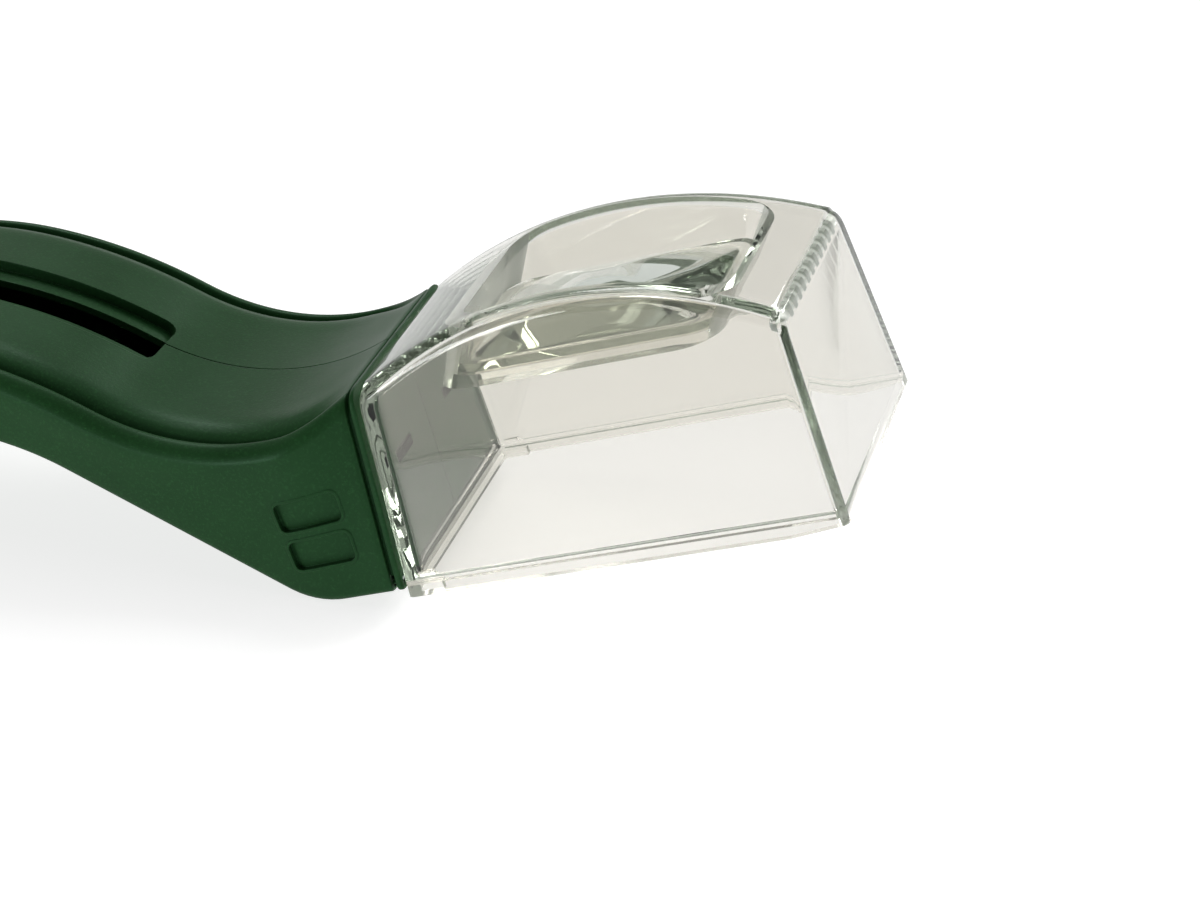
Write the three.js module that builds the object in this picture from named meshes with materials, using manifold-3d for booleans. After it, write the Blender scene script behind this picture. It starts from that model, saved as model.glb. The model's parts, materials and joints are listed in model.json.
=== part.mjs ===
// Bug catcher: a clear box with a magnifier in its arched roof, on a hollow curved handle. A thumb
// button on the handle pushes a thin flexible door under the open bottom of the box.
// Millimetres. The model is drawn in the box's own frame and tipped back at the end, as it rests:
// +X runs forward from the box's rear wall, +Y to the left of the hand that holds it, and +Z up,
// square to the box's rim.
import * as THREE from "three";
import { mergeVertices } from "three/addons/utils/BufferGeometryUtils.js";
import Module from "manifold-3d";

const wasm = await Module();
wasm.setup();

const degree = Math.PI / 180;

// Clearances
const seatGap = 0.3; // between two fixed pieces that touch
const slideGap = 0.4; // beside a piece that slides

// Clear box
const boxLength = 85; // along the rim
const boxWidth = 60; // across the rim
const boxHeight = 38.5; // at the four corners
const roofRise = 10.2; // the arched roof's peak above its corners
const boxWall = 2;
const sideLean = 4.5; // each side wall leans in by this much at the corners
const frontLean = 2.5;
const rearLean = 1.4;
const roofEdgeRadius = 3.5;
const rimDrop = 0.9; // the side rims reach below the front rim
const rimDropEnd = 11; // where they climb back to it, from the front

// The door's grooves in the box's side walls, and the blocks at their rear ends
const grooveDepth = 1.1;
const cornerBlockLength = 5;
const cornerBlockHeight = 3; // above the rim
const cornerBlockReach = 0.8; // how far a block stands in from its wall
const cornerBlockChamfer = 1.4;

// Ventilation notches inside the front roof edge
const ventCount = 11;
const ventWidth = 1.6;
const ventDepth = 1.0;

// Magnifier and its well in the roof
const wellDrop = 2.5; // the well's floor lies below the four corners by this much
const wellFloor = boxHeight - wellDrop;
const wellFloorThickness = 2;
const wellFloorStart = 17; // the well's rear end on its floor
const wellLength = 51;
const wellWidth = 38;
const wellShear = 0.6; // the well leans forward by this much for each millimetre up
const wellCornerRadius = 6;
const wellDraft = 0.08; // the well widens by this much for each millimetre up
const lensSeatWidth = 3.5;
const lensRimThickness = 1.6;
const lensCrown = 5.2;
const lensShares = [0.88, 0.74, 0.58, 0.42, 0.26, 0.1]; // the crown's rings, as shares of the rim
const lensStep = 0.05; // from the flat rim up to the crown's edge

// Hooks behind the box, which the handle's front wall holds
const hookOffset = 14; // sideways from the middle
const hookWidth = 8;
const hookHeight = 21; // above the rim
const hookThickness = 2;
const hookBarb = 1.6;

// Handle
const handleWall = 2;
const heelHeight = 0.45; // the flat underside above the box's rim corners
const heelFlat = 12.5; // length of the flat underside
const heelRadius = 15;
const climbAngle = 41.5 * degree;
const saddleRadius = 47; // the hollow top between the box and the arch
const saddleLow = 16.6; // how far behind the box the saddle is lowest
const saddleHeight = 35.65; // the saddle's lowest height
const archRadius = 110; // the arched back's top surface
const archDepth = 19; // the arched back's thickness, where the palm holds it
const swellEnd = -12 * degree; // the arch has its full thickness from here
const handleWidth = 64;
const tailWidth = 42;
const taperStart = -24 * degree; // angles on the arch are from its crown, rearward positive
const noseStart = 17 * degree;
const noseEnd = 29 * degree;
const handleProud = 0.3; // the handle's front stands out from the box's sides by this much
const noseWall = 3.5 * degree; // the hollow inside ends this far before the nose
const skirtDraft = 1.6; // each side of the handle leans in by this much down to its lower edge
const skirtDrop = 4.2; // the skirt's upper edge below the top's middle
const ridgeDrop = 2; // the rounded ridge on the skirt's edge, below the top's middle
const ridgeInset = 1.7; // from the skirt's side
const creaseDrop = 2.6; // the crease between the ridge and the cushioned top
const creaseInset = 2.9;
const cushionInset = 4.8; // where the cushioned top starts to fall to the crease
const topCrown = 0.75;
const coveRun = 16; // length in which the crease fades in behind the box
const underEdgeRadius = 1.6;
const lipWidth = 1.2; // the front lip
const revealWidth = 0.9; // the dark line behind the lip
const revealDepth = 1.1;
const frontWall = 3.9;

// Two recessed label panels on the right skirt
const panelLength = 11.8;
const panelHeight = 5.9;
const panelRear = 19; // its rear end behind the box
const panelHeights = [19.3, 11.2]; // their middles above the rim
const panelDepth = 0.8;
const panelCornerRadius = 1.3;

// Door: one thin sheet, and the strap that pulls it
const sheetThickness = 0.4;
const doorHeight = 1.5; // the sheet's middle above the rim
const doorPieces = 6;
const doorPitch = 14; // length of each piece
const doorSetback = 0.8; // the open door's front edge behind the box
const strapWidth = 14;
const strapPieces = 5;
const pieceGap = 0.3;
const guideReach = 2.6; // how far the door's guide ribs stand in from the skirt
const guideThickness = 1.2;
const guideRoom = 0.45; // between the sheet and a guide rib

// Thumb button and carriage
const recessWidth = 15.8; // the button's track, let into the handle's top
const recessDepth = 2.2;
const recessFloor = 1.4;
const recessCornerRadius = 3;
const recessLead = 2.7; // the track starts this far in front of the arch
const recessEnd = 1; // room beyond the button at both ends
const slotWidth = 7.6; // the slot in the track's floor
const carriageLength = 16;
const carriageWidth = 19.6;
const carriageDepth = 2.4;
const carriageCorner = 1.5;
const stemLength = 12;
const stemCorner = 1;
const buttonHole = 2.4; // the screw's hole into the button, above its underside
const capLength = 22;
const capRise = 4.4; // above the handle's top
const capRibs = 5;
const capRibWidth = 1.4;
const capRibLength = 11;
const capRibHeight = 0.9;
const railThickness = 1.2; // the ledges that the carriage slides on
const railLip = 1.5;

// Screws and bosses
const screwShaft = 2;
const screwHead = 4.2;
const screwHeadHeight = 1.5;
const screwLength = 13;
const bossWall = 1.4;
const bossSink = 0.3; // a boss reaches this far into the handle's lower wall
const pinSeat = 7; // the screw heads sit this far left of the middle
const rivetHead = 4;
const rivetHeadHeight = 0.8;
const rivetShaft = 3.2;

// A closed mesh as a solid. Faces that a turned shape closes up to a line at its axis are left out,
// and a shape that was drawn inside out is turned.
function solid(geometry) {
  const bare = geometry.index ? geometry.toNonIndexed() : geometry.clone();
  bare.deleteAttribute("normal");
  bare.deleteAttribute("uv");
  const merged = mergeVertices(bare, 1e-4);
  const position = merged.attributes.position;
  const corner = (i) => new THREE.Vector3().fromBufferAttribute(position, i);
  const faces = [];
  let volume = 0;
  for (let i = 0; i < merged.index.count; i += 3) {
    const [a, b, c] = [0, 1, 2].map((k) => merged.index.getX(i + k));
    if (a === b || b === c || c === a) continue;
    faces.push(a, b, c);
    volume += corner(a).dot(corner(b).cross(corner(c)));
  }
  return new wasm.Manifold(
    new wasm.Mesh({
      numProp: 3,
      vertProperties: position.array,
      triVerts: new Uint32Array(volume < 0 ? faces.reverse() : faces),
    }),
  );
}

// A solid as a three.js geometry.
function geometryOf(body) {
  const mesh = body.getMesh();
  const geometry = new THREE.BufferGeometry();
  geometry.setAttribute("position", new THREE.BufferAttribute(mesh.vertProperties, 3));
  geometry.setIndex(new THREE.BufferAttribute(mesh.triVerts, 1));
  geometry.computeVertexNormals();
  return geometry;
}

// A closed skin through rings of equal count. flat gives a ring point's place in its end cap.
function loft(rings, flat) {
  const count = rings[0].length;
  const positions = [];
  rings.forEach((ring) => ring.forEach((p) => positions.push(p.x, p.y, p.z)));
  const faces = [];
  for (let k = 0; k + 1 < rings.length; k++) {
    for (let j = 0; j < count; j++) {
      const a = k * count + j;
      const b = k * count + ((j + 1) % count);
      faces.push(a, b, b + count, a, b + count, a + count);
    }
  }
  const last = (rings.length - 1) * count;
  for (const [ring, offset, sign] of [[rings[0], 0, -1], [rings[rings.length - 1], last, 1]]) {
    const contour = ring.map(flat);
    const winding = Math.sign(THREE.ShapeUtils.area(contour)) * sign;
    const cap = THREE.ShapeUtils.triangulateShape(contour.slice(), []);
    const areas = cap.map((face) => THREE.ShapeUtils.area(face.map((i) => contour[i])));
    const turn = Math.sign(areas.reduce((sum, area) => sum + area));
    for (const [a, b, c] of cap) {
      faces.push(offset + a, offset + (turn === winding ? b : c), offset + (turn === winding ? c : b));
    }
  }
  const geometry = new THREE.BufferGeometry();
  geometry.setAttribute("position", new THREE.Float32BufferAttribute(positions, 3));
  geometry.setIndex(faces);
  return solid(geometry);
}

// A cap's plane is bent a little, so that no three points of a straight edge lie in line.
const capBend = 1e-4;
const bent = (x, y) => new THREE.Vector2(x + capBend * y * y, y + capBend * x * x);
const inYZ = (p) => bent(p.y, p.z);
const inXY = (p) => bent(p.x, p.y);
const inXZ = (p) => bent(p.x, p.z);

function boxBetween(low, high) {
  const size = high.map((value, i) => value - low[i]);
  const geometry = new THREE.BoxGeometry(...size);
  geometry.translate(...high.map((value, i) => (value + low[i]) / 2));
  return solid(geometry);
}

// An outline drawn in X and Z, drawn out along Y.
function slab(outline, yLow, yHigh) {
  const ringAt = (y) => outline.map((p) => new THREE.Vector3(p.x, y, p.y));
  return loft([ringAt(yLow), ringAt(yHigh)], inXZ);
}

function cylinderAlongY(radius, x, z, yLow, yHigh, sides = 16) {
  const geometry = new THREE.CylinderGeometry(radius, radius, yHigh - yLow, sides);
  geometry.translate(x, (yLow + yHigh) / 2, z);
  return solid(geometry);
}

function roundedRectangle(halfLength, halfWidth, radius, steps = 4) {
  const points = [];
  const signs = [[1, 1], [-1, 1], [-1, -1], [1, -1]];
  signs.forEach(([sx, sy], corner) => {
    for (let i = 0; i <= steps; i++) {
      const angle = ((corner + i / steps) * Math.PI) / 2;
      points.push(
        new THREE.Vector2(
          sx * (halfLength - radius) + radius * Math.cos(angle),
          sy * (halfWidth - radius) + radius * Math.sin(angle),
        ),
      );
    }
  });
  return points;
}

const joinAll = (bodies) => bodies.reduce((whole, body) => whole.add(body));
const lerp = THREE.MathUtils.lerp;
const smooth = (value) => THREE.MathUtils.smoothstep(value, 0, 1);
const mirrored = (body) => body.mirror([0, 1, 0]);

// Clear box
const boxHalf = (z, inset = 0) => boxWidth / 2 - inset - (sideLean * z) / boxHeight;
const boxRear = (z, inset = 0) => inset + (rearLean * z) / boxHeight;
const boxFront = (z, inset = 0) => boxLength - inset - (frontLean * z) / boxHeight;
const roofChord = boxLength - frontLean - rearLean;
const roofRadius = ((roofChord / 2) ** 2 + roofRise ** 2) / (2 * roofRise);

function roofHeight(along, inset = 0) {
  const x = (along - 0.5) * roofChord;
  return boxHeight - inset - (roofRadius - roofRise) + Math.sqrt(roofRadius ** 2 - x ** 2);
}

// The box's shape, inset by a wall, with its bottom at the height given.
function boxBody(inset, bottom) {
  const lengths = 20;
  const cornerSteps = 4;
  const rings = [];
  for (let k = 0; k <= lengths; k++) {
    const along = k / lengths;
    const top = roofHeight(along, inset);
    const radius = Math.max(roofEdgeRadius - inset, 0.8);
    const side = new THREE.Vector2(boxHalf(top - radius, inset), top - radius);
    const corner = new THREE.Vector2(boxHalf(top, inset), top);
    const roof = new THREE.Vector2(boxHalf(top, inset) - radius, top);
    const bend = new THREE.QuadraticBezierCurve(side, corner, roof).getPoints(cornerSteps);
    const left = [new THREE.Vector2(boxHalf(bottom, inset), bottom), ...bend];
    const outline = [...left, ...left.map((p) => new THREE.Vector2(-p.x, p.y)).reverse()];
    rings.push(
      outline.map((p) => {
        const x = lerp(boxRear(p.y, inset), boxFront(p.y, inset), along);
        return new THREE.Vector3(x, p.x, p.y);
      }),
    );
  }
  return loft(rings, inYZ);
}

const roofTop = boxHeight + roofRise;
const grooveHalf = boxHalf(doorHeight, boxWall) + grooveDepth;
const grooveRoom = sheetThickness / 2 + seatGap;
const doorHalf = grooveHalf - slideGap;

// The well's outline at a height, grown outward by a wall.
function wellRing(z, grow = 0) {
  const above = z - wellFloor;
  const middle = wellFloorStart + wellLength / 2 + wellShear * above;
  const halfLength = wellLength / 2 + wellDraft * above + grow;
  const halfWidth = wellWidth / 2 + wellDraft * above + grow;
  const outline = roundedRectangle(halfLength, halfWidth, wellCornerRadius + grow);
  return outline.map((p) => new THREE.Vector3(middle + p.x, p.y, z));
}

const wellBody = (low, high, grow) => loft([wellRing(low, grow), wellRing(high, grow)], inXY);

function makeBox() {
  const outer = boxBody(0, -rimDrop);
  const inner = boxBody(boxWall, -4 * boxWall);
  const blockEnd = boxWall + cornerBlockLength;
  const blockOutline = [
    [boxWall / 2, -rimDrop],
    [blockEnd, -rimDrop],
    [blockEnd, cornerBlockHeight - cornerBlockChamfer],
    [blockEnd - cornerBlockChamfer, cornerBlockHeight],
    [boxWall / 2, cornerBlockHeight],
  ].map(([x, z]) => new THREE.Vector2(x, z));
  const blockSide = boxHalf(cornerBlockHeight, boxWall) - cornerBlockReach;
  const block = slab(blockOutline, blockSide, boxHalf(0, boxWall / 2)).intersect(outer);
  const well = wellBody(wellFloor - wellFloorThickness, roofTop + 1, boxWall).intersect(outer);
  const wellHollow = wellBody(wellFloor, roofTop + 2, 0);
  const apertureRing = (z) =>
    roundedRectangle(wellLength / 2 - lensSeatWidth, wellWidth / 2 - lensSeatWidth, wellCornerRadius / 2)
      .map((p) => new THREE.Vector3(wellFloorStart + wellLength / 2 + p.x, p.y, z));
  const aperture = loft([apertureRing(wellFloor - 2 * wellFloorThickness), apertureRing(wellFloor + 1)], inXY);
  const groove = boxBetween(
    [-boxWall, -grooveHalf, doorHeight - grooveRoom],
    [boxFront(doorHeight, boxWall), grooveHalf, doorHeight + grooveRoom],
  );
  const rimStart = boxLength - rimDropEnd;
  const rimSlope = rimDrop / rimDropEnd;
  const frontRimCut = slab(
    [
      new THREE.Vector2(rimStart, -rimDrop),
      new THREE.Vector2(boxLength + rimDropEnd, rimDropEnd * rimSlope),
      new THREE.Vector2(boxLength + rimDropEnd, -4 * rimDrop),
      new THREE.Vector2(rimStart, -4 * rimDrop),
    ],
    -boxWidth,
    boxWidth,
  );
  const vents = [];
  const ventTop = roofHeight(1, boxWall);
  const ventSpan = 2 * (boxHalf(ventTop, boxWall) - roofEdgeRadius);
  for (let i = 0; i < ventCount; i++) {
    const y = ventSpan * ((i + 0.5) / ventCount - 0.5);
    const x = boxFront(ventTop, boxWall);
    vents.push(boxBetween([x - 2, y - ventWidth / 2, ventTop - 2], [x + ventDepth, y + ventWidth / 2, ventTop + ventDepth]));
  }
  let body = outer.subtract(inner).add(block).add(mirrored(block)).add(well);
  body = body.subtract(wellHollow).subtract(aperture).subtract(groove).subtract(frontRimCut);
  body = body.subtract(joinAll(vents));
  for (const side of [-1, 1]) {
    const y = side * hookOffset;
    const reach = frontWall + seatGap;
    const arm = [
      new THREE.Vector2(boxRear(hookHeight) + boxWall / 2, hookHeight),
      new THREE.Vector2(-reach - hookBarb, hookHeight),
      new THREE.Vector2(-reach - hookBarb, hookHeight + hookThickness),
      new THREE.Vector2(-reach, hookHeight + hookThickness + hookBarb),
      new THREE.Vector2(-reach, hookHeight + hookThickness),
      new THREE.Vector2(boxRear(hookHeight) + boxWall / 2, hookHeight + hookThickness),
    ];
    body = body.add(slab(arm, y - hookWidth / 2, y + hookWidth / 2));
  }
  return body;
}

// A rectangular lens with a flat rim, which follows the well's walls, and a crowned face.
function makeLens() {
  const bottom = wellFloor + seatGap;
  const rimTop = bottom + lensRimThickness;
  const rim = wellRing(rimTop, -slideGap);
  const middle = wellFloorStart + wellLength / 2 + wellShear * (rimTop - wellFloor);
  const rings = [wellRing(bottom, -slideGap), rim];
  for (const share of lensShares) {
    const z = rimTop + lensCrown * (1 - (share / lensShares[0]) ** 2) + lensStep;
    rings.push(rim.map((p) => new THREE.Vector3(middle + (p.x - middle) * share, p.y * share, z)));
  }
  return loft(rings, inXY);
}

// Handle
const recessFront = -climbAngle - recessLead / archRadius;
const recessBottom = archRadius - recessDepth;
const carriageTop = recessBottom - recessFloor - slideGap;
const carriageBottom = carriageTop - carriageDepth;
const ledgeTop = carriageBottom - slideGap;
const ledgeLow = ledgeTop - railThickness;
const sheetRoom = sheetThickness / 2 + guideRoom;
const trackRadius = ledgeLow - seatGap - sheetRoom; // the sheet's path on the arch
const saddle = new THREE.Vector2(-saddleLow, saddleHeight + saddleRadius);
const heelCentre = new THREE.Vector2(-heelFlat, heelHeight + heelRadius);
const climbNormal = new THREE.Vector2(Math.sin(climbAngle), Math.cos(climbAngle));
const climbRun = new THREE.Vector2(-Math.cos(climbAngle), Math.sin(climbAngle));
const saddleEnd = saddle.clone().addScaledVector(climbNormal, -saddleRadius);
const heelEnd = heelCentre.clone().addScaledVector(climbNormal, -heelRadius);
const handleDepth = saddleEnd.clone().sub(heelEnd).dot(climbNormal);
const arch = saddleEnd.clone().addScaledVector(climbNormal, -archRadius);
const archStart = -climbAngle;
const onArch = (angle, radius) =>
  new THREE.Vector2(arch.x - radius * Math.sin(angle), arch.y + radius * Math.cos(angle));

// Front face of the handle, a seat's gap behind the box's leaning rear wall.
const frontAt = (z) => boxRear(z) - seatGap;
const saddleStart = Math.asin((frontAt(boxHeight) - saddle.x) / saddleRadius);
const topLength = saddleRadius * (saddleStart + climbAngle);
const depthAt = (angle) =>
  lerp(handleDepth, archDepth, smooth((angle - archStart) / (swellEnd - archStart)));
const climbLength = onArch(archStart, archRadius - handleDepth).distanceTo(heelEnd);
const bottomLength = heelFlat + frontAt(heelHeight) + heelRadius * climbAngle + climbLength;

function topAt(length) {
  const angle = saddleStart - length / saddleRadius;
  return new THREE.Vector2(
    saddle.x + saddleRadius * Math.sin(angle),
    saddle.y - saddleRadius * Math.cos(angle),
  );
}

function bottomAt(length) {
  const flat = heelFlat + frontAt(heelHeight);
  if (length <= flat) return new THREE.Vector2(frontAt(heelHeight) - length, heelHeight);
  const angle = Math.min((length - flat) / heelRadius, climbAngle);
  const bend = new THREE.Vector2(-Math.sin(angle), -Math.cos(angle)).multiplyScalar(heelRadius);
  const rest = Math.max(length - flat - heelRadius * climbAngle, 0);
  return heelCentre.clone().add(bend).addScaledVector(climbRun, rest);
}

// The handle's section where it meets the box, inset by a wall: a half outline from the bottom's
// middle up to the top's middle, as [sideways, up] pairs. Its corners are those of the box.
function besideHalf(height, bottomHeight, edge, inset) {
  const box = (up) => boxHalf(bottomHeight + inset + up) + handleProud - inset;
  const top = box(height);
  const radius = roofEdgeRadius;
  const corner = new THREE.QuadraticBezierCurve(
    new THREE.Vector2(box(height - radius), height - radius),
    new THREE.Vector2(top, height),
    new THREE.Vector2(top - radius, height),
  ).getPoints(5);
  return [
    [0, 0],
    [(box(0) - edge) * 0.6, 0],
    [box(0) - edge, 0],
    [box(0) - 0.3 * edge, 0.3 * edge],
    [box(edge), edge],
    [box(height / 2), height / 2],
    ...corner.map((p) => [p.x, p.y]),
    [top - 1.6 * radius, height],
    [top - 2.2 * radius, height],
    [top - 3 * radius, height],
    [top - 5 * radius, height],
    [0, height],
  ];
}

// The handle's section farther back: a cushioned top, a crease along each side and a rounded ridge
// on the skirt's edge. The inner wall has no ridge. scale shrinks the details towards the nose.
function creasedHalf(height, halfWidth, edge, scale, inset) {
  const side = halfWidth - inset;
  const foot = side - skirtDraft * scale;
  const ridge = [
    [0, skirtDrop],
    [0.3, lerp(skirtDrop, ridgeDrop, 0.6)],
    [0.5 * ridgeInset, ridgeDrop + 0.25],
    [ridgeInset, ridgeDrop],
    [(ridgeInset + creaseInset) / 2, lerp(ridgeDrop, creaseDrop, 0.5)],
    [creaseInset, creaseDrop],
    [lerp(creaseInset, cushionInset, 0.25), lerp(creaseDrop, topCrown, 0.4)],
    [lerp(creaseInset, cushionInset, 0.55), lerp(creaseDrop, topCrown, 0.78)],
    [cushionInset, topCrown],
    [1.6 * cushionInset, 0.7 * topCrown],
  ];
  const plain = [
    [inset, skirtDrop + 1],
    [inset + 0.35, creaseDrop + 0.9],
    [inset + 1, creaseDrop + 0.4],
    [inset + 1.6, creaseDrop + 0.1],
    [inset + 2, creaseDrop],
    [inset + 2.6, lerp(creaseDrop, topCrown, 0.4)],
    [inset + 3.4, lerp(creaseDrop, topCrown, 0.8)],
    [inset + cushionInset, topCrown],
    [inset + 1.6 * cushionInset, 0.7 * topCrown],
  ];
  return [
    [0, 0],
    [(foot - edge) * 0.6, 0],
    [foot - edge, 0],
    [foot - 0.3 * edge, 0.3 * edge],
    [foot, edge],
    [lerp(foot, side, 0.5), lerp(edge, height - skirtDrop * scale, 0.5)],
    ...(inset > creaseDrop / 2 ? plain : ridge).map(([inward, drop]) => [
      halfWidth - Math.max(inward, inset) * scale,
      height - drop * scale,
    ]),
    [0, height],
  ];
}

// Both sections mixed: fade is 0 beside the box and 1 where the crease is full.
function halfSection(height, halfWidth, fade, scale, bottomHeight, inset) {
  const edge = Math.max(underEdgeRadius - inset, underEdgeRadius / 4) * scale;
  const beside = besideHalf(height - 2 * inset, bottomHeight, edge, inset);
  const creased = creasedHalf(height - 2 * inset, halfWidth, edge, scale, inset);
  return creased.map(([y, up], i) => [lerp(beside[i][0], y, fade), inset + lerp(beside[i][1], up, fade)]);
}

// One ring of the handle, from its bottom and top points in X and Z and its half outline.
function handleRing(bottom, top, half) {
  const height = top.distanceTo(bottom);
  const up = top.clone().sub(bottom).divideScalar(height);
  const place = ([y, rise]) => new THREE.Vector3(bottom.x + up.x * rise, y, bottom.y + up.y * rise);
  const left = half.map(place);
  const right = half.slice(1, -1).map(([y, rise]) => place([-y, rise])).reverse();
  return [...left, ...right];
}

function frontStation(bottomRun, topRun, inset) {
  const bottom = bottomAt(bottomRun);
  const top = topAt(topRun);
  const fade = smooth(topRun / coveRun);
  const half = halfSection(top.distanceTo(bottom), handleWidth / 2, fade, 1, bottom.y, inset);
  return handleRing(bottom, top, half);
}

function archStation(angle, inset) {
  const taper = smooth((angle - taperStart) / (noseStart - taperStart));
  const nose = THREE.MathUtils.clamp((angle - noseStart) / (noseEnd - noseStart), 0, 0.985);
  const round = Math.sqrt(1 - nose ** 2);
  const spare = (depthAt(angle) * (1 - round)) / 2;
  const bottom = onArch(angle, archRadius - depthAt(angle) + spare);
  const top = onArch(angle, archRadius - spare);
  const halfWidth = (lerp(handleWidth, tailWidth, taper) / 2) * lerp(0.3, 1, round);
  const half = halfSection(top.distanceTo(bottom), halfWidth, 1, round, bottom.y, inset);
  return handleRing(bottom, top, half);
}

const frontSteps = 12;
const archStep = 4 * degree;

// The handle's skin, inset by a wall, from a run behind the front face to an angle on the arch.
function handleBody(inset, startRun, endAngle) {
  const rings = [];
  const reveal = lipWidth + revealWidth;
  if (!inset) {
    rings.push(frontStation(0, 0, 0));
    rings.push(frontStation(lipWidth, lipWidth, 0));
    rings.push(frontStation(lipWidth, lipWidth, revealDepth));
    rings.push(frontStation(reveal, reveal, revealDepth));
    rings.push(frontStation(reveal, reveal, 0));
  }
  const from = inset ? startRun : reveal;
  for (let k = inset ? 0 : 1; k < frontSteps; k++) {
    const share = k / frontSteps;
    rings.push(frontStation(lerp(from, bottomLength, share), lerp(from, topLength, share), inset));
  }
  for (let angle = archStart; angle < noseStart; angle += archStep) rings.push(archStation(angle, inset));
  const noseSteps = 6;
  for (let k = 0; k <= noseSteps; k++) {
    const angle = lerp(noseStart, noseEnd, Math.sin((k / noseSteps) * (Math.PI / 2)));
    if (angle <= endAngle + 1e-6) rings.push(archStation(angle, inset));
  }
  return loft(rings, inYZ);
}

// The sheet's path: straight under the box, round the heel, up the handle and over the arch.
const heelTrack = heelCentre.y - doorHeight;
const between = heelCentre.clone().sub(arch);
const trackAngle =
  Math.asin((heelTrack + trackRadius) / between.length()) - Math.atan2(between.y, between.x);
const trackNormal = new THREE.Vector2(Math.sin(trackAngle), Math.cos(trackAngle));
const trackRun = new THREE.Vector2(-Math.cos(trackAngle), Math.sin(trackAngle));
const trackClimb = Math.sqrt(between.lengthSq() - (heelTrack + trackRadius) ** 2);
const heelTrackStart = -heelCentre.x;
const heelTrackEnd = heelTrackStart + heelTrack * trackAngle;
const archTrackStart = heelTrackEnd + trackClimb;
const trackAt = (angle) => archTrackStart + (angle + trackAngle) * trackRadius;

// A point on the path, by its length behind the box's rear wall and its height off the path.
function onTrack(length, off = 0) {
  if (length <= heelTrackStart) return new THREE.Vector2(-length, doorHeight + off);
  if (length <= heelTrackEnd) {
    const angle = (length - heelTrackStart) / heelTrack;
    const reach = heelTrack - off;
    return new THREE.Vector2(heelCentre.x - reach * Math.sin(angle), heelCentre.y - reach * Math.cos(angle));
  }
  if (length <= archTrackStart) {
    return heelCentre
      .clone()
      .addScaledVector(trackNormal, off - heelTrack)
      .addScaledVector(trackRun, length - heelTrackEnd);
  }
  return onArch((length - archTrackStart) / trackRadius - trackAngle, trackRadius + off);
}

// A band along the path between two heights off it, drawn out along Y.
function trackBand(from, to, low, high, yLow, yHigh) {
  const steps = Math.ceil((to - from) / 3);
  const lengths = Array.from({ length: steps + 1 }, (_, i) => lerp(from, to, i / steps));
  const outline = [
    ...lengths.map((length) => onTrack(length, low)),
    ...lengths.reverse().map((length) => onTrack(length, high)),
  ];
  return slab(outline, yLow, yHigh);
}

// The next point on the path at a straight distance from one that has the length given.
function nextOnTrack(length, distance) {
  const from = onTrack(length);
  let low = length;
  let high = length + 2 * distance;
  for (let i = 0; i < 50; i++) {
    const middle = (low + high) / 2;
    if (onTrack(middle).distanceTo(from) < distance) low = middle;
    else high = middle;
  }
  return (low + high) / 2;
}

// Lengths along the path of the joints between the sheet's pieces, from the door's front edge.
function chain(start, pitches) {
  const lengths = [start];
  pitches.forEach((pitch) => lengths.push(nextOnTrack(lengths[lengths.length - 1], pitch)));
  return lengths;
}

const shutFront = boxFront(doorHeight, boxWall) - slideGap;
const doorTravel = shutFront + doorSetback;
const openDoor = chain(doorSetback, Array(doorPieces).fill(doorPitch));
const openTail = openDoor[doorPieces];
const shutTail = doorPieces * doorPitch - shutFront;
const capRun = (capLength / 2 + recessEnd) / archRadius;
const carriageShut = trackAt(recessFront + capRun);
const strapPitch = (carriageShut - shutTail) / strapPieces;
const openStrap = chain(openTail, Array(strapPieces).fill(strapPitch));
const shutStrap = chain(shutTail, Array(strapPieces).fill(strapPitch));
const angleAt = (length) => (length - archTrackStart) / trackRadius - trackAngle;
const openAngle = angleAt(openStrap[strapPieces]);
const shutEnd = angleAt(shutStrap[strapPieces]);
const slideAngle = openAngle - shutEnd;

// A bar bent to the arch, with rounded corners seen from above: its length and width, the angle of
// its middle, the radii it lies between and how far to the side it lies.
function archBar(length, width, corner, middle, lowRadius, highRadius, side = 0) {
  const cornerSteps = 4;
  const straight = Math.max(1, Math.ceil((length - 2 * corner) / 8));
  const stations = [];
  for (let i = 0; i < cornerSteps; i++) {
    const angle = ((i / cornerSteps) * Math.PI) / 2;
    stations.push([-length / 2 + corner * (1 - Math.cos(angle)), corner * (1 - Math.sin(angle))]);
  }
  for (let i = 0; i <= straight; i++) stations.push([lerp(corner, length - corner, i / straight) - length / 2, 0]);
  for (let i = cornerSteps - 1; i >= 0; i--) stations.push([-stations[i][0], stations[i][1]]);
  const outline = corner > 0 ? stations : stations.filter(([, narrower]) => narrower === 0);
  const bar = outline.map(([run, narrower]) => {
    const half = width / 2 - narrower;
    const low = onArch(middle - run / archRadius, lowRadius);
    const high = onArch(middle - run / archRadius, highRadius);
    return [
      new THREE.Vector3(low.x, side - half, low.y),
      new THREE.Vector3(low.x, side + half, low.y),
      new THREE.Vector3(high.x, side + half, high.y),
      new THREE.Vector3(high.x, side - half, high.y),
    ];
  });
  return loft(bar, inYZ);
}

// A turned piece whose axis points outward from the arch. Its profile is [radius, height] pairs.
function archTurned(profile, angle, radius, sides = 14) {
  const points = profile.map(([r, h]) => new THREE.Vector2(r, h));
  const geometry = new THREE.LatheGeometry(points, sides);
  geometry.rotateX(Math.PI / 2);
  geometry.rotateY(-angle);
  const at = onArch(angle, radius);
  geometry.translate(at.x, 0, at.y);
  return solid(geometry);
}

const pinProfile = (radius, low, high) => [[0, low], [radius, low], [radius, high], [0, high]];

const sheetTop = trackRadius + sheetThickness / 2;
const rivetPlace = openAngle - carriageLength / 4 / trackRadius;
const screwPlace = openAngle + carriageLength / 4 / trackRadius;

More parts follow.
